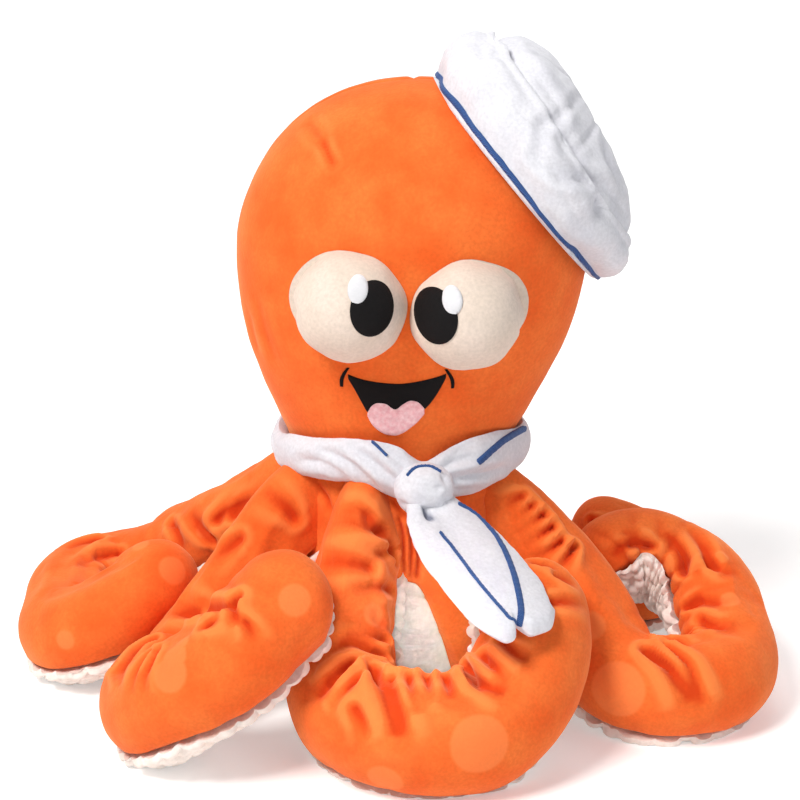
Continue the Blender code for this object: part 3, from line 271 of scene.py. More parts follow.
def wrapped(angle):
    """An angle brought between minus and plus half a turn."""
    return np.angle(np.exp(1j * angle))


def full_turn(count):
    return np.linspace(0, 2 * math.pi, count, endpoint=False)


def unit(vectors):
    return vectors / np.maximum(np.linalg.norm(vectors, axis=-1, keepdims=True), 1e-12)


def refine(grid, times, axis, periodic):
    """The grid with more points along one axis, on smooth curves through its own points."""
    grid = np.moveaxis(grid, axis, 0)
    count = len(grid)
    steps = count if periodic else count - 1
    at = np.arange(steps * times + (0 if periodic else 1)) / times
    base = np.minimum(at.astype(int), steps - 1)
    part = (at - base).reshape((-1,) + (1,) * (grid.ndim - 1))

    def pick(offset):
        index = base + offset
        return grid[index % count] if periodic else grid[np.clip(index, 0, count - 1)]

    a, b, c, d = pick(-1), pick(0), pick(1), pick(2)
    made = b + 0.5 * part * (c - a + part * (2 * a - 5 * b + 4 * c - d + part * (3 * (b - c) + d - a)))
    return np.moveaxis(made, 0, axis)


def grid_normals(grid, periodic):
    """Outward unit normals of a grid of rings."""
    along = np.gradient(grid, axis=0)
    around = np.roll(grid, -1, 1) - np.roll(grid, 1, 1) if periodic else np.gradient(grid, axis=1)
    normals = np.cross(around, along)
    flat = np.linalg.norm(normals, axis=-1) < 1e-12
    normals = unit(normals)
    middle = grid.mean(1, keepdims=True)
    if (normals * (grid - middle)).sum() < 0:
        normals = -normals
    for end, near in ((0, 1), (-1, -2)):
        if flat[end].any():
            normals[end] = unit(normals[near].mean(0))
    return normals


def quads(rows, columns, periodic, start=0):
    i = np.arange(rows - 1)[:, None]
    j = np.arange(columns if periodic else columns - 1)[None, :]
    a, b = i * columns + j, i * columns + (j + 1) % columns
    return (np.stack([a, b, b + columns, a + columns], -1).reshape(-1, 4) + start).tolist()


def grid_body(grid, periodic=True, first_pole=False, last_pole=False):
    """Points and faces of a closed body over a grid: ends drawn to a pole or capped, open sides joined."""
    rows, columns = grid.shape[:2]
    body = grid[1 if first_pole else 0: rows - 1 if last_pole else rows]
    count = len(body)
    points = list(body.reshape(-1, 3))
    faces = quads(count, columns, periodic)
    if not periodic:
        for i in range(count - 1):
            faces.append([i * columns, (i + 1) * columns, (i + 2) * columns - 1, (i + 1) * columns - 1])
    last = (count - 1) * columns
    for pole, row, start in ((first_pole, grid[0], 0), (last_pole, grid[-1], last)):
        ring = list(range(start, start + columns))
        if not pole:
            faces.append(ring if start else ring[::-1])
            continue
        points.append(row.mean(0))
        tip = len(points) - 1
        pairs = zip(ring, ring[1:] + ring[:1])
        faces += [[a, b, tip] if start else [b, a, tip] for a, b in pairs]
    return np.array(points), faces


def shell_body(outer, inner, periodic=False):
    """Points and faces of a thin closed body between two grids of the same shape."""
    rows, columns = outer.shape[:2]
    size = rows * columns
    points = np.concatenate([outer.reshape(-1, 3), inner.reshape(-1, 3)])
    faces = quads(rows, columns, periodic) + [f[::-1] for f in quads(rows, columns, periodic, size)]
    edges = [range(columns), range(size - columns, size)]
    if not periodic:
        edges += [range(0, size, columns), range(columns - 1, size, columns)]
    for number, edge in enumerate(edges):
        edge = list(edge)
        pairs = list(zip(edge, edge[1:] + (edge[:1] if periodic else [])))
        turn = number in (1, 2)
        faces += [[a, b, b + size, a + size] if turn else [b, a, a + size, b + size] for a, b in pairs]
    return points, faces


def linked(name, data):
    """A new object in the scene."""
    made = bpy.data.objects.new(name, data)
    bpy.context.scene.collection.objects.link(made)
    return made


def add_piece(name, shape, finish, body="torso"):
    """A piece of one closed body, given as points and faces, with its faces turned outward.

    Its slot has the name of its material.
    """
    points, faces = shape
    mesh = bpy.data.meshes.new(name)
    mesh.from_pydata(points.tolist(), [], faces)
    mesh.validate()
    mesh.calc_loop_triangles()
    corners = np.array([tuple(t.vertices) for t in mesh.loop_triangles])
    p = points[corners]
    if np.einsum("ij,ij->i", p[:, 0], np.cross(p[:, 1], p[:, 2])).sum() < 0:
        mesh.flip_normals()
    mesh.shade_smooth()
    mesh.set_sharp_from_angle(angle=math.radians(SHARP_ANGLE))
    mesh.materials.append(finish)
    piece = linked(name, mesh)
    if body:
        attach(piece, body)
    # Blender numbers a material whose name the frame already has
    return piece


def shade_folds(piece, move):
    """Store how far each point of a grid's piece lies down in a fold, 1 for a millimetre and a quarter; a material with
    fold colours turns it into painted shade in the folds and painted highlights beside them.
    """
    values = np.zeros(len(piece.data.vertices), np.float32)
    depth = np.clip(-move / (1.25 * MM), -1.0, 1.6).reshape(-1)
    values[:min(len(values), len(depth))] = depth[:len(values)]
    piece.data.attributes.new("fold", 'FLOAT', 'POINT').data.foreach_set("value", values)


def tree_of(grid, periodic):
    """A search tree of a grid's surface, for laying thin pieces on it."""
    rows, columns = grid.shape[:2]
    return BVHTree.FromPolygons(grid.reshape(-1, 3).tolist(), quads(rows, columns, periodic))


def camera_ray(x, y):
    """Camera position and direction through a place in the photograph's frame."""
    lean = math.radians(ELEVATION)
    ahead = Vector((0, math.cos(lean), -math.sin(lean)))
    up = Vector((0, math.sin(lean), math.cos(lean)))
    share = PIXEL / DISTANCE
    middle = FRAME_PIXELS / 2
    way = ahead + Vector((1, 0, 0)) * ((x - middle) * share) + up * ((middle - y) * share)
    return TARGET - ahead * DISTANCE, way.normalized()


def seen_point(tree, x, y):
    place = tree.ray_cast(*camera_ray(x, y))[0]
    return None if place is None else np.array(place)


def traced(tree, pixels, count):
    """Points of a surface under a smooth line of the photograph's pixels, given as x, y, x, y and on."""
    x, y = (even_spline(pixels[k::2], np.linspace(0, 1, count)) for k in (0, 1))
    found = [seen_point(tree, a, b) for a, b in zip(x, y)]
    return np.array([point for point in found if point is not None])


def creased(grid, tree, creases, shoulder=0.42, fan=False):
    """How far each point of a grid moves for folds drawn on it: sharp valleys between soft shoulders.

    A fanned fold is sharp at its end nearer the grid's last column, a gathered seam, and widens away from it.
    """
    move = np.zeros(grid.shape[:-1])
    for deep, wide, *pixels in creases:
        path = traced(tree, pixels, 24)
        if len(path) < 5:
            continue
        if fan:
            ends = [np.linalg.norm(grid - path[k], axis=-1).argmin() % grid.shape[1] for k in (0, -1)]
            path = path[::-1] if ends[1] > ends[0] else path
        box = (grid > path.min(0) - 8 * wide * MM).all(-1) & (grid < path.max(0) + 8 * wide * MM).all(-1)
        near = grid[box]
        gaps = np.linalg.norm(near[:, None] - path[None], axis=-1)
        nearest = gaps.argmin(1)
        gap = np.full(len(near), 9.0)
        for a, b in zip(path, path[1:]):
            gap = np.minimum(gap, segment_distance(near, a, b))
        share = np.clip((nearest + 0.5) / len(path), 0, 1)
        if fan:
            gap /= wide * MM * (0.85 + 0.95 * share)
            taper = (1 - share) ** 0.75 * np.clip(0.55 + 4.0 * share, 0, 1)
        else:
            gap /= wide * MM
            taper = np.sin(math.pi * np.clip((nearest + 1.5) / (len(path) + 2), 0, 1)) ** 0.6
        valley = -np.exp(-gap ** 1.5) + shoulder * bell(gap - 2.3, 1.1)
        move[box] += deep * MM * taper * valley
    return move


def segment_distance(points, a, b):
    a, b = np.asarray(a), np.asarray(b)
    way = b - a
    share = np.clip((points - a) @ way / max(way @ way, 1e-12), 0, 1)
    return np.linalg.norm(points - (a + share[..., None] * way), axis=-1)


def waves(points, scale, seed, octaves=3):
    """Smooth random values of about -1 to 1 in space, from sums of plane waves."""
    draw = np.random.default_rng(seed)
    total = np.zeros(points.shape[:-1])
    for octave in range(octaves):
        for _ in range(5):
            way = unit(draw.normal(size=3)) * (2 * math.pi / scale * 2 ** octave * draw.uniform(0.7, 1.3))
            total += np.sin(points @ way + draw.uniform(0, 2 * math.pi)) / 2 ** octave
    return total / 4


def nubs(along, across, pitch, seed, closed_width=None):
    """Heights from 0 to 1 of round nubs scattered over a surface measured in metres both ways."""
    u, v = along / pitch, across / pitch
    cell_u, cell_v = np.floor(u).astype(int), np.floor(v).astype(int)
    best = np.full(u.shape, 9.0)
    wrap = int(round(closed_width / pitch)) if closed_width else 0
    for du in (-1, 0, 1):
        for dv in (-1, 0, 1):
            iu, iv = cell_u + du, cell_v + dv
            key = np.sin((iu * 127.1 + (iv % wrap if wrap else iv) * 311.7 + seed) * 1.7)
            jitter_u = np.modf(np.abs(key) * 43758.5453)[0]
            jitter_v = np.modf(np.abs(key) * 22578.1459)[0]
            size = 0.85 + 0.3 * np.modf(np.abs(key) * 9631.77)[0]
            gap = ((u - iu - 0.2 - 0.6 * jitter_u) ** 2 + (v - iv - 0.2 - 0.6 * jitter_v) ** 2) / size
            best = np.minimum(best, gap)
    return np.sqrt(np.clip(1 - best / 0.34, 0, 1))


# Cloth

def settle(jobs):
    """Fill out each job's cloth by air pressure, its seams held and its slack gathered, all side by side.

    A job has a grid of rings that ends in a point, and held and slack values for each of its points.
    The grids come back with their points moved.
    """
    made = {}
    for name, job in jobs.items():
        points, faces = grid_body(job["grid"], last_pole=True)
        mesh = bpy.data.meshes.new("cloth_" + name)
        mesh.from_pydata(points.tolist(), [], [face for face in faces if len(face) < 5])
        cloth_piece = linked("cloth_" + name, mesh)
        count = len(cloth_piece.data.vertices)
        for group_name in ("held", "slack"):
            group = cloth_piece.vertex_groups.new(name=group_name)
            weights = job[group_name].reshape(-1)
            for index in range(count):
                value = float(weights[min(index, len(weights) - 1)])
                if value > 0:
                    group.add([index], value, 'REPLACE')
        cloth = cloth_piece.modifiers.new("cloth", 'CLOTH')
        cloth.collision_settings.use_collision = False
        setting = cloth.settings
        setting.quality = 6
        setting.mass = 0.15
        setting.tension_stiffness = setting.compression_stiffness = 15.0
        setting.shear_stiffness = 5.0
        setting.bending_stiffness = 0.05
        setting.air_damping = 2.0
        setting.effector_weights.gravity = 0.0
        setting.use_pressure = True
        setting.uniform_pressure_force = 8.0
        setting.vertex_group_mass = "held"
        setting.vertex_group_shrink = "slack"
        setting.shrink_min = 0.0
        setting.shrink_max = -CLOTH_GROWTH
        cloth.point_cache.frame_start, cloth.point_cache.frame_end = 1, CLOTH_FRAMES
        made[name] = cloth_piece
    for number in range(1, CLOTH_FRAMES + 1):
        bpy.context.scene.frame_set(number)
    settled = {}
    graph = bpy.context.evaluated_depsgraph_get()
    for name, cloth_piece in made.items():
        seen = cloth_piece.evaluated_get(graph).to_mesh()
        co = np.zeros(len(seen.vertices) * 3)
        seen.vertices.foreach_get("co", co)
        co = co.reshape(-1, 3)
        grid = jobs[name]["grid"]
        moved = np.empty_like(grid)
        moved[:-1] = co[:-1].reshape(moved[:-1].shape)
        moved[-1] = co[-1]
        move = moved - grid
        far = np.linalg.norm(move, axis=-1, keepdims=True)
        move *= CLOTH_REACH * np.tanh(far / CLOTH_REACH) / np.maximum(far, 1e-9)
        settled[name] = grid + move
    for cloth_piece in made.values():
        bpy.data.objects.remove(cloth_piece)
    bpy.context.scene.frame_set(1)
    return settled


# Materials

def node(tree, kind, inputs=None, **settings):
    made = tree.nodes.new(kind)
    for key, value in settings.items():
        setattr(made, key, value)
    for key, value in (inputs or {}).items():
        if isinstance(value, bpy.types.NodeSocket):
            tree.links.new(value, made.inputs[key])
        else:
            made.inputs[key].default_value = value
    return made


def mixed(tree, share, first, second, kind='MIX'):
    made = node(tree, 'ShaderNodeMix', data_type='RGBA', blend_type=kind)
    for key, value in ((0, share), (6, first), (7, second)):
        if isinstance(value, bpy.types.NodeSocket):
            tree.links.new(value, made.inputs[key])
        else:
            made.inputs[key].default_value = value if key == 0 else (*value, 1.0)
    return made.outputs[2]


def noise_of(tree, place, scale, detail=2.0, **settings):
    return node(tree, 'ShaderNodeTexNoise', {'Vector': place, 'Scale': scale, 'Detail': detail}, **settings).outputs[0]


def spread(tree, value, low, high, new_low=0.0, new_high=1.0):
    return node(tree, 'ShaderNodeMapRange', {'Value': value, 'From Min': low, 'From Max': high, 'To Min': new_low,
                                             'To Max': new_high}).outputs[0]


def material(name, roughness, specular):
    """A new material with its node tree, shader and object coordinates."""
    made = bpy.data.materials.new(name)
    made.use_nodes = True
    tree = made.node_tree
    shader = tree.nodes["Principled BSDF"]
    shader.inputs['Roughness'].default_value = roughness
    shader.inputs['Specular IOR Level'].default_value = specular
    return made, tree, shader, node(tree, 'ShaderNodeTexCoord').outputs['Object']


def surface(tree, shader, colour, height, strength, distance):
    bump = node(tree, 'ShaderNodeBump', {'Height': height, 'Strength': strength, 'Distance': distance})
    tree.links.new(colour, shader.inputs['Base Color'])
    tree.links.new(bump.outputs[0], shader.inputs['Normal'])


def plush(name, light, deep, sheen, tint, grain=750.0, depth=0.25, brush=55.0, spot_and_highlight=None, fold=None, painted_ridge_highlight=None):
    """Short brushed pile: broad patches where the pile leans, fine grain, a soft sheen, and, where a piece stores its
    folds, painted shade down in them and painted highlights on the ridges beside them.
    """
    made, tree, shader, place = material(name, 0.92, 0.12)
    patches = spread(tree, noise_of(tree, place, brush, 3.0), 0.32, 0.68)
    fine = noise_of(tree, place, grain, 3.0)
    colour = mixed(tree, patches, deep, light)
    colour = mixed(tree, spread(tree, fine, 0.3, 0.7, 0.0, 0.32), colour, tuple(0.62 * c for c in deep))
    # Lighter colour for printed spots, and for a highlight painted as spots
    if spot_and_highlight:
        inside = node(tree, 'ShaderNodeAttribute', attribute_name="spot_and_highlight").outputs['Fac']
        share = spread(tree, inside, 0.975, 1.02, 0.0, 0.55)
        colour = mixed(tree, share, colour, spot_and_highlight)
    # Painted shade: a darker, redder colour down in the folds
    if fold:
        fold_shade_and_highlight_amount = node(tree, 'ShaderNodeAttribute', attribute_name="fold").outputs['Fac']
        colour = mixed(tree, spread(tree, fold_shade_and_highlight_amount, 0.1, 1.3, 0.0, 0.85), colour, fold)
    # Painted highlight: a lighter, yellower colour on the ridges beside the folds
    if painted_ridge_highlight:
        colour = mixed(tree, spread(tree, fold_shade_and_highlight_amount, -0.05, -0.7, 0.0, 0.7), colour, painted_ridge_highlight)
    surface(tree, shader, colour, fine, depth, 0.6 * MM)
    shader.inputs['Sheen Weight'].default_value = sheen
    shader.inputs['Sheen Roughness'].default_value = 0.45
    shader.inputs['Sheen Tint'].default_value = (*tint, 1.0)
    return made


def stitched(name, colour, dark, pitch, direction, depth=0.6, gloss=0.5, shine=0.3):
    """Satin-stitch embroidery: close threads side by side, slightly shiny."""
    made, tree, shader, place = material(name, gloss, shine)
    threads = node(tree, 'ShaderNodeTexWave', {'Vector': place, 'Scale': 1.0 / pitch / 2, 'Distortion': 1.2,
                                               'Detail': 2.0, 'Detail Scale': 3.0},
                   wave_type='BANDS', bands_direction=direction)
    fine = noise_of(tree, place, 1500.0, 2.0)
    colour_out = mixed(tree, threads.outputs['Fac'], dark, colour)
    colour_out = mixed(tree, spread(tree, fine, 0.3, 0.7, 0.0, 0.25), colour_out, dark)
    height = node(tree, 'ShaderNodeMath', {0: threads.outputs['Fac'], 1: fine}, operation='ADD').outputs[0]
    surface(tree, shader, colour_out, height, depth, 0.4 * MM)
    return made


# Orange pile: the fold colour is painted shade down in creases, the ridge colour a painted highlight beside them, and
# the lighter spot colour serves printed spots and one painted highlight
ORANGE = plush("orange_plush", (0.89, 0.186, 0.037), (0.84, 0.122, 0.019), 0.36, (1.0, 0.58, 0.30),
               spot_and_highlight=(0.93, 0.25, 0.074), fold=(0.60, 0.040, 0.004), painted_ridge_highlight=(0.94, 0.255, 0.064))
CREAM = plush("cream_plush", (0.76, 0.645, 0.56), (0.71, 0.595, 0.50), 0.25, (1.0, 0.95, 0.88), depth=0.15)
FLEECE = plush("nubby_fleece", (0.95, 0.89, 0.84), (0.90, 0.80, 0.73), 0.30, (1.0, 0.96, 0.92), 500.0, 0.5, 120.0)
# White pile; its fold colour is painted shade, dark bluish grey, used only down in the neckerchief tail's dimple
WHITE = plush("white_plush", (0.74, 0.74, 0.785), (0.675, 0.675, 0.73), 0.30, (0.96, 0.97, 1.0), depth=0.3, brush=90.0,
              fold=(0.10, 0.11, 0.17))
BLUE_THREAD = stitched("blue_thread", (0.042, 0.125, 0.36), (0.018, 0.05, 0.17), 0.7 * MM, 'DIAGONAL')
BLACK_THREAD = stitched("black_thread", (0.012, 0.010, 0.011), (0.003, 0.003, 0.003), 0.6 * MM, 'Z', gloss=0.75,
                        shine=0.12)
WHITE_THREAD = stitched("white_thread", (0.90, 0.90, 0.92), (0.74, 0.74, 0.78), 0.6 * MM, 'Z')
PINK_TERRY = plush("pink_terry", (0.96, 0.66, 0.68), (0.86, 0.42, 0.46), 0.3, (1.0, 0.85, 0.85), 480.0, 1.0, 620.0)


# Head

def head_section(height):
    """Half width, half depth and middle of the head at an array of heights."""
    up = np.clip((height - HEAD_BASE) / (HEAD_EQUATOR - HEAD_BASE), 0, 1)
    over = np.clip((height - HEAD_EQUATOR) / (HEAD_TOP - HEAD_EQUATOR), 0, 1)
    share = np.sqrt(1 - over ** 2)
    width, depth = (spline(HEAD_LOWER, up, column) * share for column in (1, 2))
    lean = HEAD_LEAN * up * (1 + DOME_LEAN_SHARE * np.sin(math.pi * over))
    return HEAD_WIDTH / 2 * width, HEAD_DEPTH / 2 * depth, lean


def clear_of_head(points, gap):
    """The points with those inside the head moved out to a small gap off its surface."""
    half_width, half_depth, middle = head_section(points[..., 2])
    low = points[..., 2] < HEAD_EQUATOR
    x, y = points[..., 0] - middle, points[..., 1]
    flat = np.sqrt((x / (half_width + gap)) ** 2 + (y / (half_depth + gap)) ** 2)
    dome = HEAD_TOP - HEAD_EQUATOR + gap
    high = np.sqrt((x / (HEAD_WIDTH / 2 + gap)) ** 2 + (y / (HEAD_DEPTH / 2 + gap)) ** 2
                   + ((points[..., 2] - HEAD_EQUATOR) / dome) ** 2)
    share = np.where(low, flat, high)
    grow = np.where(share < 1, 1 / np.maximum(share, 0.2), 1.0)
    made = points.copy()
    made[..., 0] = middle + x * grow
    made[..., 1] = y * grow
    made[..., 2] = np.where(low, points[..., 2], HEAD_EQUATOR + (points[..., 2] - HEAD_EQUATOR) * grow)
    return made


def head_grid(rows=150, columns=280):
    low = np.linspace(HEAD_BASE, HEAD_EQUATOR, rows // 2, endpoint=False)
    turn = np.linspace(0, math.pi / 2, rows - rows // 2)
    heights = np.concatenate([low, HEAD_EQUATOR + (HEAD_TOP - HEAD_EQUATOR) * np.sin(turn)])
    half_width, half_depth, middle = head_section(heights)
    angle = full_turn(columns)
    grid = np.stack([middle[:, None] + half_width[:, None] * np.cos(angle),
                     half_depth[:, None] * np.sin(angle),
                     np.repeat(heights[:, None], columns, 1)], -1)
    return grid, angle


def build_head():
    grid, angle = head_grid()
    normals = grid_normals(grid, True)
    tree = tree_of(grid, True)
    move = 0.5 * MM * waves(grid, 0.06, 3) * np.clip((np.abs(grid[..., 1] + 0.055) - 0.02) / 0.02, 0, 1)
    # Seams at both sides and the back
    drawn = creased(grid, tree, HEAD_CREASES)
    move += drawn
    half_turn = np.minimum.reduce([np.abs(angle), np.abs(angle - math.pi), np.abs(angle - 2 * math.pi),
                                   np.abs(angle - math.pi / 2)])
    seam = half_turn[None, :] * np.linalg.norm(grid[..., :2], axis=-1)
    move -= 0.9 * MM * bell(seam, 1.3 * MM)
    made = grid + normals * move[..., None]
    piece = add_piece("head_plush", grid_body(made, last_pole=True), ORANGE)
    # Painted shade in the drawn creases, from the orange's fold colour
    shade_folds(piece, drawn)
    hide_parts("head_back_skin", "head_front_skin", "head_stuffing")
    return tree_of(made, True)


HEAD_TREE = build_head()


# Eyes

def lay(tree, x, height, offset, reach=-1.0):
    """Points on the front of a surface at arrays of x and height, a small way off it."""
    out = np.zeros(x.shape + (3,))
    for index in np.ndindex(x.shape):
        place, normal, *_ = tree.ray_cast(Vector((x[index], reach, height[index])), Vector((0, 1, 0)))
        if place is None:
            place, normal, *_ = tree.find_nearest(Vector((x[index], -HEAD_DEPTH / 2, height[index])))
        if normal.y > 0:
            normal = -normal
        out[index] = place + normal * offset
    return out


def round_patch(name, tree, place, size, height, finish, rings=9, columns=40):
    """A domed embroidered patch laid on the front of a surface."""
    share = np.linspace(1.0, 0.0, rings)[:, None]
    angle = full_turn(columns)[None, :]
    x = place[0] + size[0] / 2 * share * np.cos(angle)
    z = place[1] + size[1] / 2 * share * np.sin(angle)
    floor = lay(tree, x, z, PATCH_GAP)
    top = lay(tree, x, z, 0.0)
    up = unit(floor - top)
    rise = height * (np.sqrt(np.clip(1 - share ** 4, 0, 1)) * 0.5 + 0.5) * np.ones_like(x)
    rise = np.where(share > 0.97, height * 0.35, rise)
    outer = floor + up * rise[..., None]
    grid = np.concatenate([floor[::-1], outer[:1] * 0.35 + floor[:1] * 0.65, outer], 0)
    return add_piece(name, grid_body(grid, first_pole=True, last_pole=True), finish)


def ball_grid(half, flat, turn, angle):
    """Rings of an ellipsoid from front to back, with given half sizes and ring widths."""
    return np.stack([half[0] * flat * np.cos(angle), -half[1] * np.cos(turn) * np.ones_like(angle),
                     half[2] * flat * np.sin(angle)], -1)


def build_eye(side, sign, height_share, pupil, glint, notch):
    x = EYE_MEETING + sign * (EYE_HALF[0] + SEAM_GAP)
    centre = np.array((x, EYE_BACK, HEAD_BASE + HEAD_HEIGHT * height_share))
    rings, columns = 60, 120
    turn = np.linspace(0, math.pi, rings)[:, None]
    angle = full_turn(columns)[None, :]
    # A soft polygon outline, flatter over the front
    puff = 1 + 0.012 * np.cos(7 * angle + 0.8 * sign) * np.sin(turn) ** 2 - 0.006
    squash = np.sin(turn) ** 0.93
    grid = ball_grid(EYE_HALF, squash, turn, angle)
    grid[..., (0, 2)] *= puff[..., None]
    normals = grid_normals(grid, True)
    # Puckers and a seam notch at the outer side
    gap = wrapped(angle - math.radians(notch))
    move = -1.6 * MM * bell(gap, 0.10) * bell(turn - 1.62, 0.33)
    for place in (-0.9, -0.45, 0.5, 1.0):
        gap = wrapped(angle - math.radians(notch) - place)
        move = move - 0.6 * MM * bell(gap, 0.12) * bell(turn - 1.7, 0.25)
    move = move + 0.25 * MM * waves(grid, 0.02, 11 + sign)
    made = centre + grid + normals * move[..., None]
    limit = EYE_MEETING + sign * 0.15 * MM
    made[..., 0] = np.maximum(made[..., 0], limit) if sign > 0 else np.minimum(made[..., 0], limit)
    made = clear_of_head(made, SEAM_GAP)
    piece = add_piece(f"eye_{side}_plush", grid_body(made, first_pole=True, last_pole=True), CREAM)
    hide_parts(f"eye_{side}_cover", f"eye_{side}_stuffing")
    tree = tree_of(made, True)
    place = (centre[0] + pupil[0] * 2 * EYE_HALF[0], centre[2] + pupil[1] * 2 * EYE_HALF[2])
    patch = round_patch(f"pupil_{side}_stitching", tree, place, (0.0164, 0.0206), 0.7 * MM, BLACK_THREAD)
    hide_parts(f"pupil_{side}")
    place = (centre[0] + glint[0] * 2 * EYE_HALF[0], centre[2] + glint[1] * 2 * EYE_HALF[2])
    patch = round_patch(f"glint_{side}_stitching", tree, place, (0.0078, 0.0098), 1.15 * MM, WHITE_THREAD,
                        rings=7, columns=32)
    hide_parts(f"glint_{side}")


build_eye("left", -1, 0.4766, (0.190, 0.092), (0.074, 0.262), 182.0)
build_eye("right", 1, 0.4554, (-0.272, 0.084), (-0.135, 0.240), -12.0)


# Mouth

def head_patch(name, tops, bottoms, height, finish, *nodes, columns=60, rows=16):
    """A stitched patch on the head between an upper and a lower line of (x, height) points."""
    at = np.linspace(0, 1, columns)
    lines = []
    for line in (tops, bottoms):
        lines.append(np.stack([even_spline(values, at) for values in zip(*line)], -1))
    share = np.linspace(0, 1, rows)[None, :, None]
    flat = lines[0][:, None] * (1 - share) + lines[1][:, None] * share
    low = lay(HEAD_TREE, flat[..., 0], flat[..., 1], PATCH_GAP)
    up = unit(low - lay(HEAD_TREE, flat[..., 0], flat[..., 1], 0.0))
    edge = np.minimum(np.minimum(share[..., 0], 1 - share[..., 0]) * rows / 2.5,
                      np.minimum(at, 1 - at)[:, None] * columns / 2.5)
    rise = height * (0.4 + 0.6 * np.sqrt(np.clip(edge, 0, 1)))
    piece = add_piece(name, shell_body(low + up * rise[..., None], low), finish)
    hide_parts(*nodes)


def build_mouth():
    middle = HEAD_WIDTH / 2 * -0.092 + HEAD_LEAN
    level = HEAD_BASE + HEAD_HEIGHT * 0.2858
    half, drop = 0.0385 / 2, 0.0165
    lips = ((-1.0, 0.0, 0.09), (-0.86, 0.06, 0.40), (-0.70, 0.11, 0.78), (-0.60, 0.13, 0.98), (-0.42, 0.16, 1.10),
            (-0.22, 0.18, 1.15), (0.0, 0.19, 1.15), (0.22, 0.17, 1.12), (0.42, 0.13, 1.02), (0.58, 0.09, 0.86),
            (0.72, 0.05, 0.66), (0.87, 0.0, 0.36), (1.0, -0.06, 0.03))
    head_patch("mouth_stitching", [(middle + half * a, level - drop * b) for a, b, _ in lips],
               [(middle + half * a, level - drop * c) for a, _, c in lips], 0.8 * MM, BLACK_THREAD, "mouth")
    tongue = ((-0.60, 0.98, 1.04), (-0.52, 0.78, 1.28), (-0.38, 0.68, 1.45), (-0.22, 0.70, 1.55), (-0.04, 0.84, 1.57),
              (0.12, 0.70, 1.50), (0.28, 0.60, 1.36), (0.44, 0.66, 1.18), (0.56, 0.84, 0.98))
    head_patch("tongue_stitching", [(middle + half * a, level - drop * b) for a, b, _ in tongue],
               [(middle + half * a, level - drop * c) for a, _, c in tongue], 1.5 * MM, PINK_TERRY, "tongue")
    for side, sign in (("left", -1), ("right", 1)):
        start = middle + sign * (half - 0.6 * MM)
        share = np.linspace(0, 1, 7)
        x = start + sign * (1.6 * MM * np.sin(math.pi * share * 0.9) + 2.2 * MM * share ** 2)
        height = level + 8.6 * MM * (0.34 - share)
        wide = 1.5 * MM * (0.55 + 0.45 * np.sin(math.pi * (0.15 + 0.7 * share)))
        head_patch(f"smile_crease_{side}_stitching", list(zip(x, height)), list(zip(x + sign * wide, height)), 0.7 * MM,
                   BLACK_THREAD, f"smile_crease_{side}", columns=24, rows=6)


build_mouth()


# Cap

def cap_placed(grid):
    place = Vector((HEAD_WIDTH / 2 * CAP_PLACE[0] + HEAD_LEAN, HEAD_DEPTH / 2 * CAP_PLACE[1],
                    HEAD_BASE + HEAD_HEIGHT * CAP_PLACE[2]))
    about_z, about_y = (math.radians(turn) for turn in CAP_TURNS)
    turn = np.array(Matrix.Rotation(about_z, 3, 'Z') @ Matrix.Rotation(about_y, 3, 'Y'))
    made = grid.copy()
    made[..., 2] *= 1 - CAP_SLOPE * grid[..., 0] / CAP_RADIUS
    return made @ turn.T + np.array(place)


def turned(profile, columns):
    profile = np.array(profile)
    angle = full_turn(columns)
    return np.stack([profile[:, :1] * np.cos(angle), profile[:, :1] * np.sin(angle),
                     np.repeat(profile[:, 1:], columns, 1)], -1), angle


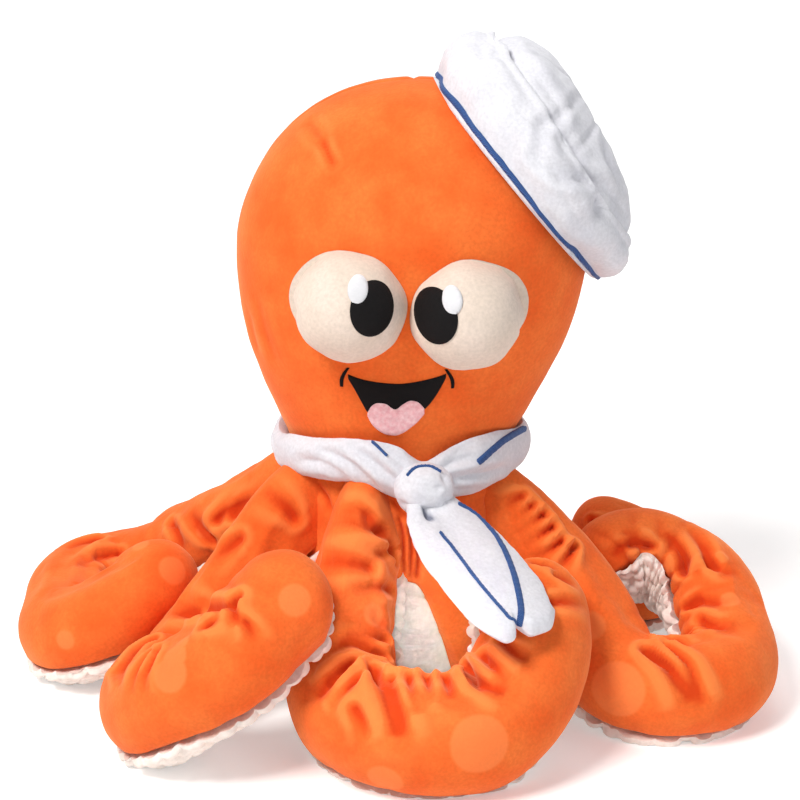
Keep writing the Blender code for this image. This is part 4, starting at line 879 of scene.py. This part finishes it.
def build_cap():
    columns = 220
    table = ((0.0, 0.905), (0.3, 0.975), (0.55, 1.0), (0.85, 0.965), (1.0, 0.90))
    share = np.linspace(0, 1, 26)
    outer = list(zip(CAP_RADIUS * spline(table, share), CAP_BAND_WIDTH * share))
    roll = np.linspace(0, math.pi, 12)[1:]
    inner_radius = CAP_CROWN_RADIUS + 0.5 * MM
    mid_radius = (outer[-1][0] + inner_radius) / 2
    lip = [(mid_radius + (outer[-1][0] - mid_radius) * math.cos(t), CAP_BAND_WIDTH + 2.2 * MM * math.sin(t))
           for t in roll]
    back = [(inner_radius, CAP_BAND_WIDTH * s) for s in np.linspace(0.9, 0.05, 8)]
    under = np.linspace(0, math.pi, 7)[1:-1]
    first = CAP_RADIUS * 0.905
    low_mid = (first + inner_radius) / 2
    foot = [(low_mid - (first - low_mid) * math.cos(t), -1.4 * MM * math.sin(t)) for t in under]
    grid, angle = turned(outer + lip + back + foot, columns)
    normals = grid_normals(grid, True)
    # The foot turns in, so its normals are set from the section itself
    section = grid[:, 0][:, [0, 2]]
    way = np.roll(section, -1, 0) - np.roll(section, 1, 0)
    out = unit(np.stack([way[:, 1], -way[:, 0]], -1))
    if out[10, 0] < 0:
        out = -out
    normals = np.stack([out[:, :1] * np.cos(angle), out[:, :1] * np.sin(angle),
                        np.repeat(out[:, 1:], columns, 1)], -1)
    draw = np.random.default_rng(5)
    move = 1.6 * MM * waves(grid, 0.045, 21) + 0.15 * MM * waves(grid, 0.004, 22)
    upper = np.clip((grid[..., 2] / CAP_BAND_WIDTH - 0.35) / 0.65, 0, 1)
    for place in draw.uniform(0, 2 * math.pi, 9):
        gap = wrapped(angle - place)[None, :]
        move -= draw.uniform(0.8, 2.0) * MM * np.exp(-(gap / draw.uniform(0.05, 0.12)) ** 2) * upper
    outer_only = np.zeros(len(grid))
    outer_only[:len(outer) + len(lip) // 2] = 1
    seen = cap_placed(grid)
    move += creased(seen, tree_of(seen, True), CAP_CREASES)
    made = grid + normals * (move * outer_only[:, None])[..., None]
    made = cap_placed(made)
    cuff_rows = made[:len(outer)].copy()
    made = clear_of_head(made, CLOTH_GAP)
    cuff = add_piece("cap_cuff", ring_body(made), WHITE)
    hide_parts("cap_band")

    foot_height, top = CAP_BAND_WIDTH * 0.62, CAP_BAND_WIDTH + CAP_RISE
    rows = np.linspace(0, 1, 46)
    shape = ((0.0, 1.0, 0.0), (0.12, 1.0, 0.24), (0.22, 0.985, 0.41), (0.33, 0.965, 0.53), (0.45, 0.90, 0.69),
             (0.66, 0.66, 0.89), (0.85, 0.33, 0.98), (1.0, 0.0, 1.0))
    radius = CAP_CROWN_RADIUS * spline(shape, rows)
    height = foot_height + (top - foot_height) * spline(shape, rows, 2)
    grid, angle = turned(list(zip(radius, height)), 180)
    normals = grid_normals(grid, True)
    move = 1.6 * MM * waves(grid, 0.05, 31) + 0.12 * MM * waves(grid, 0.004, 32)
    for place in range(6):
        gap = wrapped(angle - math.radians(60 * place + 25))[None, :] * radius[:, None]
        move -= 0.9 * MM * bell(gap, 1.3 * MM)
    seen = cap_placed(grid)
    move += creased(seen, tree_of(seen, True), CAP_CREASES)
    made = cap_placed(grid + normals * move[..., None])
    made = clear_of_head(made, CLOTH_GAP)
    crown = add_piece("cap_top", grid_body(made, last_pole=True), WHITE)
    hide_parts("cap_crown", "cap_stuffing")

    # Satin stripe along the cuff's lower edge, its own edge line left free below
    low, high = 0.015, 0.110
    rows = np.linspace(low, high, 9) * (len(outer) - 1)
    base = np.floor(rows).astype(int)
    part = (rows - base)[:, None, None]
    line = cuff_rows[base] * (1 - part) + cuff_rows[base + 1] * part
    line = clear_of_head(line, 0.5 * MM)
    up = grid_normals(line, True)
    bulge = 0.9 * MM * np.sqrt(np.sin(np.linspace(0.12, math.pi - 0.12, 9)))[:, None, None]
    ridges = 0.12 * MM * np.sin(np.arange(columns) * 2.4)[None, :, None]
    shape = shell_body(line + up * (bulge + ridges), line - up * 0.2 * MM, periodic=True)
    stripe = add_piece("cap_stripe_stitching", shape, BLUE_THREAD)
    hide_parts("cap_stripe")


def ring_body(grid):
    """Points and faces of a ring whose section closes on itself."""
    rows, columns = grid.shape[:2]
    closed = np.concatenate([grid, grid[:1]])
    faces = [[index % (rows * columns) for index in face] for face in quads(len(closed), columns, True)]
    return grid.reshape(-1, 3), faces


build_cap()


# Neckerchief

def ring_points(angle, turn, radius, half, level):
    reach = radius + half[0] * np.cos(turn)
    return np.stack([reach * np.cos(angle), reach * np.sin(angle), level + half[1] * np.sin(turn)], -1)


def knot_place():
    angle = math.radians(KNOT_ANGLE)
    reach = SCARF_RADIUS + SCARF_HALF[0] * 1.35
    return np.array((reach * math.cos(angle), reach * math.sin(angle), TORSO_HEIGHT * 0.984))


def torso_radius(height):
    return TORSO_RADIUS * spline(TORSO_PROFILE, np.clip(height / TORSO_HEIGHT, 0, 1))


def clear_of_torso(points, gap):
    radius = np.linalg.norm(points[..., :2], axis=-1)
    least = torso_radius(points[..., 2]) + gap
    inside = (radius < least) & (points[..., 2] < TORSO_HEIGHT) & (radius > 1e-6)
    grow = np.where(inside, least / np.maximum(radius, 1e-6), 1.0)
    made = points.copy()
    made[..., :2] *= grow[..., None]
    return made


def build_scarf_band():
    columns, steps = 340, 34
    angle = full_turn(columns)[None, :]
    from_knot = np.degrees(wrapped(angle - math.radians(KNOT_ANGLE)))
    turn = np.linspace(-1.25, 1.25, steps)[:, None]
    near = bell(from_knot, 17.0)
    top, foot = spline(BAND_TOP, from_knot) * MM, spline(BAND_FOOT, from_knot) * MM
    half_height = (top - foot) / 2 / math.sin(1.25)
    thick = SCARF_HALF[0] * (1.12 + 0.25 * near)
    grid = ring_points(angle, turn, SCARF_RADIUS, (thick * np.ones_like(turn), half_height * np.ones_like(turn)),
                       (top + foot) / 2 * np.ones_like(turn))
    grid = clear_of_head(grid, 1.5 * MM)
    normals = grid_normals(grid, True)
    move = 0.6 * MM * waves(grid, 0.035, 41) + 0.12 * MM * waves(grid, 0.004, 42)
    back = np.clip((np.abs(from_knot) - 70) / 30, 0, 1)
    for level_turn, slant, deep in ((0.30, 0.35, 1.2), (-0.45, -0.30, 1.0)):
        line = level_turn + slant * np.sin(np.radians(from_knot) * 2)
        move = move - deep * MM * bell(turn - line, 0.16) * back
    move += creased(grid, tree_of(grid, True), BAND_CREASES)
    made = grid + normals * move[..., None]
    inner = []
    for share in np.linspace(0, 1, 6)[1:-1]:
        level_now = made[-1, :, 2] * (1 - share) + made[0, :, 2] * share
        inner.append(np.stack([(SCARF_RADIUS - 9 * MM) * np.cos(angle[0]), (SCARF_RADIUS - 9 * MM) * np.sin(angle[0]),
                               level_now], -1))
    made = np.concatenate([made, np.stack(inner)])
    made = clear_of_torso(clear_of_head(made, CLOTH_GAP), CLOTH_GAP)
    piece = add_piece("scarf_band_plush", ring_body(made), WHITE)
    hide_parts("scarf_band")
    return made[:steps]


def build_knot():
    rings, columns = 40, 80
    bend = np.linspace(0, math.pi, rings)[:, None]
    angle = full_turn(columns)[None, :]
    flat = np.sin(bend) ** 0.8
    grid = ball_grid(KNOT_HALF, flat, bend, angle)
    normals = grid_normals(grid, True)
    move = 0.4 * MM * waves(grid, 0.015, 51) + 0.1 * MM * waves(grid, 0.004, 52)
    for start, end, deep in (((-9, -6, 5), (5, -9, 3), 1.0), ((-10, -5, -4), (2, -9, -6), 1.1),
                             ((7, -6, 7), (8, -6, -6), 1.2)):
        move -= deep * MM * bell(segment_distance(grid, np.array(start) * MM, np.array(end) * MM), 1.5 * MM)
    turn = np.array(Matrix.Rotation(math.radians(KNOT_ANGLE + 90.0), 3, 'Z'))
    made = (grid + normals * move[..., None]) @ turn.T + knot_place()
    made = clear_of_torso(clear_of_head(made, 0.5 * MM), 0.5 * MM)
    piece = add_piece("scarf_knot_plush", grid_body(made, first_pole=True, last_pole=True), WHITE)
    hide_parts("scarf_knot")
    return made


def tail_points(run, across, offset=0.0, side=1.0):
    """Points on the upper or lower face of the hanging tail; run and across are arrays."""
    heading = math.radians(TAIL_HEADING)
    forward = np.array((math.cos(heading), math.sin(heading), 0.0))
    sideways = np.array((forward[1], -forward[0], 0.0))

    def middle(at):
        drop = spline(TAIL_LINE, at)
        return knot_place() + forward * (THICK * at)[..., None] + np.array((0, 0, THICK)) * drop[..., None]

    along = unit(middle(run + 0.05) - middle(run - 0.05))
    up = unit(np.cross(sideways, along))
    width = spline(TAIL_LINE, np.minimum(run, 1.38), 2) * TAIL_WIDTH / 2
    thick = TAIL_THICKNESS / 2 * np.ones_like(run)
    dent = TAIL_THICKNESS * 0.20 * bell(across - 0.05, 0.30) * np.clip(1.25 - run, 0, 1)
    dent = dent + 3.6 * MM * np.exp(-((across - 0.36) / 0.13) ** 2 - ((run - 0.20) / 0.10) ** 2)
    round_off = np.sqrt(np.clip(1 - np.abs(across) ** 3, 0, 1))
    rise = thick * round_off + offset - (dent if side > 0 else 0.0)
    return middle(run) + sideways * (width * across)[..., None] + up * (rise * side)[..., None]


def build_tail():
    rows, columns = 90, 44
    across = np.sin(np.linspace(-math.pi / 2, math.pi / 2, columns))[None, :]
    # The end is cut in two lobes with a notch between
    end = 1.60 - 0.13 * bell(across - 0.10, 0.12) - 0.55 * np.clip(np.abs(across + 0.05) - 0.50, 0, 1) ** 1.6
    share = np.linspace(0, 1, rows)[:, None]
    run = share * end
    taper = np.sqrt(np.clip((1 - share) * end / 0.09, 0, 1))
    upper = tail_points(run, across * np.ones_like(run))
    lower = tail_points(run, across * np.ones_like(run), side=-1.0)
    middle = (upper + lower) / 2
    upper = middle + (upper - middle) * np.minimum(taper, 1)[..., None]
    lower = middle + (lower - middle) * np.minimum(taper, 1)[..., None]
    ring = np.concatenate([upper, lower[:, -2:0:-1]], 1)
    normals = grid_normals(ring, True)
    move = 0.45 * MM * waves(ring, 0.03, 61) + 0.1 * MM * waves(ring, 0.004, 62)
    made = ring + normals * (move * np.concatenate([taper, taper[:, -2:0:-1]], 1))[..., None]
    piece = add_piece("scarf_tail_plush", grid_body(made), WHITE, body="scarf_tail")
    # Painted shade down in the tail's dimple, drawn in the white's fold colour
    painted_dimple_shade = np.exp(-((across - 0.36 + 1.2 * (run - 0.19)) / 0.10) ** 2 - ((run - 0.19) / 0.085) ** 2)
    shade_folds(piece, -3.0 * MM * np.concatenate([painted_dimple_shade, 0 * painted_dimple_shade[:, 2:]], 1))
    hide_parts("scarf_tail")
    return made[:, :columns]


def stripe_on(name, tree, line, width, body, replaced, direction, count):
    """A satin stripe that follows a line of points on a surface, its width across the way of the line."""
    at = np.linspace(0, 1, count)
    path = np.stack([even_spline(values, at) for values in line.T], -1)
    near, ups = [], []
    for point in path:
        place, normal, *_ = tree.find_nearest(Vector(point))
        if normal.dot(Vector(direction)) < 0:
            normal = -normal
        near.append(place)
        ups.append(normal)
    near, ups = np.array(near), np.array(ups)
    for _ in range(2):
        ups = unit(ups + np.roll(ups, 1, 0) + np.roll(ups, -1, 0))
    along = unit(np.gradient(near, axis=0))
    aside = unit(np.cross(along, ups))
    taper = np.minimum(1.0, np.minimum(at, 1 - at) * count / 5 + 0.45)
    outer, inner = [], []
    for step in np.linspace(-1, 1, 7):
        base = near + aside * (width / 2 * step * taper)[:, None]
        laid = np.array([tree.find_nearest(Vector(p))[0] for p in base])
        rise = 0.8 * MM * math.sqrt(max(1 - 0.86 * step * step, 0)) + 0.1 * MM * math.sin(step * 3)
        outer.append(laid + ups * rise)
        inner.append(laid - ups * 0.3 * MM)
    outer, inner = np.stack(outer, 1), np.stack(inner, 1)
    outer += (0.12 * MM * np.sin(np.arange(count) * 2.3))[:, None, None] * ups[:, None]
    piece = add_piece(name, shell_body(outer, inner), BLUE_THREAD, body=body)
    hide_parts(replaced)


def build_scarf():
    band = build_scarf_band()
    knot = build_knot()
    tail = build_tail()
    band_tree = tree_of(band, True)
    knot_tree = tree_of(knot, True)
    tail_tree = tree_of(tail, False)

    for name, (wide, *pixels) in BAND_STRIPES.items():
        stripe_on(f"scarf_stripe_{name}_stitching", band_tree, traced(band_tree, pixels, 12), wide * MM, "torso",
                  f"scarf_stripe_{name}", (0.1, -0.9, 0.3), 40)
    for name, (wide, *pixels) in TAIL_STRIPES.items():
        stripe_on(f"scarf_stripe_tail_{name}_stitching", tail_tree, traced(tail_tree, pixels, 16), wide * MM,
                  "scarf_tail", f"scarf_stripe_tail_{name}", (0.3, -0.8, 0.6), 80)
    wide, *pixels = KNOT_STRIPE
    stripe_on("scarf_stripe_knot_stitching", knot_tree, traced(knot_tree, pixels, 12), wide * MM, "torso",
              "scarf_stripe_knot", (0.1, -1, 0.5), 34)


build_scarf()


# Torso

def build_torso():
    columns, rows = 480, 80
    angle = full_turn(columns)
    degrees = (np.degrees(angle) + 180) % 360 - 180
    seam = TORSO_HEIGHT * BELLY_SHARE * spline(BELLY_EDGE, degrees)
    share = np.linspace(0, 1, rows)[:, None]
    for name, low, high, finish, nodes in (
            ("torso_plush", seam + SEAM_GAP, TORSO_HEIGHT, ORANGE, ("torso_skin", "torso_stuffing")),
            ("belly_fleece", BASE_THICKNESS + SEAM_GAP, seam, FLEECE, ("belly_panel",))):
        heights = low + (high - low) * share
        radius = torso_radius(heights)
        grid = np.stack([radius * np.cos(angle), radius * np.sin(angle), heights], -1)
        normals = unit(grid * (1, 1, 0))
        edge = np.minimum(heights - low, high - heights)
        move = -0.8 * MM * bell(edge, 1.2 * MM)
        if finish is FLEECE:
            across = angle[None, :] * TORSO_RADIUS * np.ones((rows, 1))
            bumps = nubs(heights, across, 4.6 * MM, 7.0, 2 * math.pi * TORSO_RADIUS)
            move += (0.5 * bumps - 0.2) * MM * np.clip(edge / (1.5 * MM), 0.3, 1) + 0.5 * MM * waves(grid, 0.02, 72)
            move += creased(grid, tree_of(grid, True), BELLY_CREASES)
        else:
            drawn = creased(grid, tree_of(grid, True), TORSO_CREASES, 0.2)
            # The cloth swells where it runs down beside the belly
            swell = bell(degrees + 60, 15) * np.clip((78 * MM - heights) / (30 * MM), 0, 1)
            move += drawn + 4.0 * MM * swell * np.clip(edge / (5 * MM), 0, 1) ** 0.6 + 0.4 * MM * waves(grid, 0.03, 71)
        piece = add_piece(name, grid_body(grid + normals * move[..., None]), finish)
        # Painted shade in the drawn folds beside the belly, from the orange's fold colour
        if finish is ORANGE:
            shade_folds(piece, drawn)
        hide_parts(*nodes)
    rim = torso_radius(np.array([0.0]))[0]
    profile = [(rim * s, 0.2 * MM) for s in (0.0, 0.4, 0.8, 0.97)] + [(rim, 0.7 * MM), (rim, BASE_THICKNESS - 0.3 * MM)]
    profile += [(rim * 0.97, BASE_THICKNESS), (0.0, BASE_THICKNESS)]
    grid, _ = turned(profile, 96)
    piece = add_piece("base_fleece", grid_body(grid, first_pole=True, last_pole=True), FLEECE)
    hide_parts("base_panel")


build_torso()


# Tentacles

def tentacle_line(plan):
    """Middle line of a tentacle and its run in thicknesses."""
    azimuth, heading = math.radians(plan["azimuth"]), math.radians(plan["heading"])
    x = TORSO_RADIUS * START_SHARE * math.cos(azimuth)
    y = TORSO_RADIUS * START_SHARE * math.sin(azimuth)
    run, flat = 0.0, [(x, y, 0.0)]
    for length, turn in plan["runs"]:
        steps = max(round(length / 0.05), 1)
        for _ in range(steps):
            half = math.radians(turn) / steps / 2
            heading += half
            x += THICK * length / steps * math.cos(heading)
            y += THICK * length / steps * math.sin(heading)
            heading += half
            run += length / steps
            flat.append((x, y, run))
    flat = np.array(flat)
    lift = np.maximum(spline(plan["lift"], flat[:, 2]), 0.0)
    line = np.stack([flat[:, 0], flat[:, 1], THICK * (LIE_SHARE * plan["full"] + lift)], -1)
    return line, flat[:, 2]


def tentacle_grid(plan):
    """Rings round a tentacle from inside the torso to its tip, with the run of each ring."""
    line, run = tentacle_line(plan)
    lengths = np.concatenate([[0], np.cumsum(np.linalg.norm(np.diff(line, axis=0), axis=1))])
    total = lengths[-1]
    tip = THICK * TIP_SHARE * plan["full"]
    rings = round((total - tip) / CLOTH_SPACING)
    tip_rings = max(round(tip * 1.5 / CLOTH_SPACING), 4)
    tip_turn = np.concatenate([np.zeros(rings), np.linspace(0, math.pi / 2, tip_rings + 1)])
    along = np.concatenate([np.linspace(0, total - tip, rings + 1)[:-1], total - tip + tip * np.sin(tip_turn[rings:])])

    def at(values):
        return np.stack([np.interp(along, lengths, values[:, k]) for k in range(values.shape[1])], -1)

    index = np.arange(len(line))
    ahead, behind = np.minimum(index + 3, len(line) - 1), np.maximum(index - 4, 0)
    forward = unit(at(unit(line[ahead] - line[behind])))
    side = unit(np.cross(forward, (0, 0, 1.0)))
    up = np.cross(side, forward)
    runs = np.interp(along, lengths, run)
    full = THICK / 2 * plan["full"]
    width = full * spline(WIDTHS, runs)
    height = full * np.maximum(spline(WIDTHS, runs), np.where(runs < 2, 0.95, 0.0))
    roll = np.radians(-spline(plan["roll"], runs))
    angles = plan["seam"] + 360.0 * np.arange(CLOTH_COLUMNS) / CLOTH_COLUMNS
    turn = np.radians(angles)[None, :] + roll[:, None]
    share = np.cos(tip_turn)[:, None]
    grid = (at(line)[:, None] + side[:, None] * (width[:, None] * share * np.cos(turn))[..., None]
            + up[:, None] * (height[:, None] * share * np.sin(turn))[..., None])
    # The cloth climbs the torso above each root
    climb = 0.34 * THICK * bell(runs, 0.62)[:, None] * np.clip(np.sin(turn), 0, 1) ** 1.5
    grid[..., 2] = np.maximum(grid[..., 2] + climb, 0.0)
    return grid, runs


def folds(plan_name, surface_run, angle, plan):
    """Depth of the gathers along a tentacle's inner seam and of its larger folds."""
    draw = np.random.default_rng(len(plan_name) * 7 + ord(plan_name[0]))
    depth = np.zeros(surface_run.shape)
    inner = plan["seam"] + TOP_SPAN
    end = plan["lift"][-1][0]
    place = 0.9
    while place < end + 0.2:
        reach = draw.uniform(70, 130)
        wide = draw.uniform(0.045, 0.075)
        deep = draw.uniform(0.9, 2.2)
        slant = draw.uniform(-0.12, 0.12)
        away = inner - angle
        gap = surface_run - place - slant * away / 90.0
        fade = np.clip(1 - away / reach, 0, 1) ** 0.8 * (away > -60)
        depth += deep * np.exp(-np.abs(gap / wide) ** 1.4) * fade
        place += draw.uniform(0.16, 0.34)
    place = 0.7
    while place < end:
        reach = draw.uniform(25, 50)
        away = angle - plan["seam"]
        gap = surface_run - place
        fade = np.clip(1 - away / reach, 0, 1) * (away > -30)
        depth += draw.uniform(0.3, 0.8) * np.exp(-np.abs(gap / 0.06) ** 1.4) * fade
        place += draw.uniform(0.25, 0.5)
    return depth * MM


def tentacle_cloth():
    """The tentacles' grids after their cloth has gathered along the inner seams, and the run of their rings."""
    jobs, plain = {}, {}
    for name, plan in PLANS.items():
        grid, runs = tentacle_grid(plan)
        plain[name] = runs
        step = np.linalg.norm(np.gradient(grid, axis=0), axis=-1)
        middle = np.linalg.norm(np.gradient(grid.mean(1), axis=0), axis=-1)
        growth = np.clip(middle[:, None] / np.maximum(step, 1e-6) - 1, 0, CLOTH_GROWTH)
        growth[-6:] = 0.0
        growth = np.maximum(growth, 0.08)
        held = np.zeros(grid.shape[:2])
        held[:, 0] = 1.0
        held[:, CLOTH_SEAM:] = 1.0
        held[runs < 0.5] = 1.0
        jobs[name] = dict(grid=grid, held=held, slack=growth / CLOTH_GROWTH)
    return settle(jobs), plain


def build_tentacle(name, plan):
    coarse, runs = SETTLED[name], RUNS[name]
    for part, first, last, times, finish in (
            ("plush", 0, CLOTH_SEAM, 3, ORANGE), ("fleece", CLOTH_SEAM, CLOTH_COLUMNS, 4, FLEECE)):
        fine = refine(refine(coarse, times, 0, False), times, 1, True)
        run = refine(runs[:, None, None], times, 0, False)[:, 0, 0]
        normals = grid_normals(fine, True)
        first, count = first * times, (last - first) * times + 1
        pick = np.arange(first, first + count) % fine.shape[1]
        grid, normals = fine[:, pick], normals[:, pick]
        angle = plan["seam"] + 360.0 / CLOTH_COLUMNS / times * (first + np.arange(count))
        surface_run = run[:, None] * np.ones((1, count))
        across = np.arange(count) * (CLOTH_SPACING / times)
        edge = np.minimum(np.arange(count), count - 1 - np.arange(count)) * (CLOTH_SPACING / times)
        seam_groove = (1.1 if part == "plush" else 0.4) * MM * bell(edge, 1.6 * MM)[None, :]
        root = np.clip((surface_run - 0.5) / 0.4, 0, 1)
        gathers = -folds(name, surface_run, angle[None, :], plan) * root
        if part == "plush":
            gathers += 2.0 * creased(grid, tree_of(grid, False), CREASES.get(name, ()), fan=True)
        move = gathers - seam_groove
        if part == "plush":
            move += 0.35 * MM * waves(grid, 0.03, ord(name[0]) + len(name))
        else:
            length = np.concatenate([[0], np.cumsum(np.linalg.norm(np.diff(grid[:, count // 2], axis=0), axis=1))])
            bumps = nubs(length[:, None] * np.ones((1, count)), across[None, :], 5.4 * MM, len(name) * 3.1)
            tip_fade = np.clip((length[-1] - length) / (6 * MM), 0, 1)[:, None]
            near_seam = bell(edge - 2.2 * MM, 2.2 * MM)[None, :]
            move += (2.9 * bumps * (0.8 + 0.2 * near_seam) + 0.9 * near_seam) * tip_fade * MM
        made = grid + normals * move[..., None]
        made[..., 2] = np.maximum(made[..., 2], 0.2 * MM)
        piece = add_piece(f"tentacle_{name}_{part}", grid_body(made, periodic=False, last_pole=True), finish, body=None)
        # Painted shade down in the gathers and folds, and painted highlights beside them, where the finish has fold
        # colours
        shade_folds(piece, gathers[:-1])
        if part == "plush":
            paint_spots_and_highlight(piece, name, tree_of(made, False), made, run, angle)
            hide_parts(f"tentacle_{name}_top", f"tentacle_{name}_stuffing")
        else:
            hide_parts(f"tentacle_{name}_underside")
        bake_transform(piece)


def paint_spots_and_highlight(piece, name, tree, grid, run, angle):
    """Store how far inside a printed mark each point lies, 1 at a mark's edge; the drop-shaped mark on the front left
    tentacle is a painted highlight.
    """
    co = np.zeros(len(piece.data.vertices) * 3)
    piece.data.vertices.foreach_get("co", co)
    co = co.reshape(-1, 3)
    inside = np.full(len(co), -1.0)
    spot_and_highlight_places = [(seen_point(tree, x, y), radius * PIXEL) for x, y, radius in SPOTS_AND_HIGHLIGHT.get(name, ())]
    for at, turn, radius in HIDDEN_SPOTS.get(name, ()):
        row, column = int(np.argmin(np.abs(run - at))), int(np.argmin(np.abs(angle - turn)))
        spot_and_highlight_places.append((grid[row, column], radius * MM))
    for place, radius in spot_and_highlight_places:
        inside = np.maximum(inside, (radius - np.linalg.norm(co - place, axis=1)) / 0.03)
    kept = piece.data.attributes.new("spot_and_highlight", 'FLOAT', 'POINT')
    kept.data.foreach_set("value", (1 + inside).astype(np.float32))


SETTLED, RUNS = tentacle_cloth()
for tentacle_name, tentacle_plan in PLANS.items():
    build_tentacle(tentacle_name, tentacle_plan)


# Floor, light and camera

def build_stage():
    size, back, radius = 3.0, 1.2, 0.5
    profile = [(-size, 0.0), (back - radius, 0.0)]
    profile += [(back - radius + radius * math.sin(t), radius - radius * math.cos(t))
                for t in np.linspace(0.1, math.pi / 2, 12)]
    profile += [(back, 2.5)]
    points = [(x, y, z) for y, z in profile for x in (-size, size)]
    faces = [(2 * i, 2 * i + 1, 2 * i + 3, 2 * i + 2) for i in range(len(profile) - 1)]
    mesh = bpy.data.meshes.new("floor")
    mesh.from_pydata(points, [], faces)
    mesh.shade_smooth()
    floor = linked("floor", mesh)
    made, tree, shader, place = material("floor_paper", 0.95, 0.0)
    tree.links.new(mixed(tree, noise_of(tree, place, 40.0), (0.90, 0.90, 0.90), (0.93, 0.93, 0.93)),
                   shader.inputs['Base Color'])
    shader.inputs['Emission Color'].default_value = (1, 1, 1, 1)
    path = node(tree, 'ShaderNodeLightPath')
    seen = node(tree, 'ShaderNodeMath', {0: path.outputs['Is Camera Ray'], 1: 0.12}, operation='MULTIPLY')
    glow = node(tree, 'ShaderNodeMath', {0: seen.outputs[0], 1: 0.16}, operation='ADD')
    tree.links.new(glow.outputs[0], shader.inputs['Emission Strength'])
    mesh.materials.append(made)


def add_lamp(name, place, aim, size, power, colour=(1, 1, 1), spread=180.0):
    lamp = bpy.data.lights.new(name, 'AREA')
    lamp.shape = 'DISK'
    lamp.size = size
    lamp.energy = power
    lamp.color = colour
    lamp.spread = math.radians(spread)
    made = linked(name, lamp)
    made.location = place
    made.rotation_euler = (Vector(aim) - Vector(place)).to_track_quat('-Z', 'Y').to_euler()


def build_light():
    add_lamp("key", (-0.68, -0.72, 1.34), (0, 0, 0.12), 0.6, 24.0, (1.0, 0.98, 0.95))
    add_lamp("fill", (1.1, -0.8, 0.75), (0, 0, 0.12), 1.0, 3.1, (0.95, 0.97, 1.0))
    add_lamp("front", (0.1, -1.3, 0.30), (0, 0, 0.04), 0.6, 1.2)
    add_lamp("belly", (-0.05, -0.9, 0.42), (0.010, -0.05, 0.042), 0.05, 0.0092, spread=5.0)
    add_lamp("top", (0.1, 0.5, 1.4), (0, 0, 0.1), 0.9, 4.4)
    world = bpy.data.worlds.new("studio")
    bpy.context.scene.world = world
    world.use_nodes = True
    tree = world.node_tree
    background = tree.nodes["Background"]
    path = node(tree, 'ShaderNodeLightPath')
    seen = path.outputs['Is Camera Ray']
    for kind in ('Is Glossy Ray', 'Is Transmission Ray'):
        seen = node(tree, 'ShaderNodeMath', {0: seen, 1: path.outputs[kind]}, operation='MAXIMUM').outputs[0]
    tree.links.new(spread(tree, seen, 0.0, 1.0, 0.22, 1.0), background.inputs['Strength'])
    background.inputs['Color'].default_value = (1, 1, 1, 1)


def build_camera():
    place, ahead = camera_ray(FRAME_PIXELS / 2, FRAME_PIXELS / 2)
    camera = bpy.data.cameras.new("camera")
    camera.sensor_width = SENSOR
    camera.lens = SENSOR * DISTANCE / (PIXEL * FRAME_PIXELS)
    made = linked("camera", camera)
    made.location = place
    made.rotation_euler = ahead.to_track_quat('-Z', 'Y').to_euler()
    bpy.context.scene.camera = made


build_stage()
build_light()
build_camera()
bpy.context.scene.view_settings.view_transform = 'Standard'
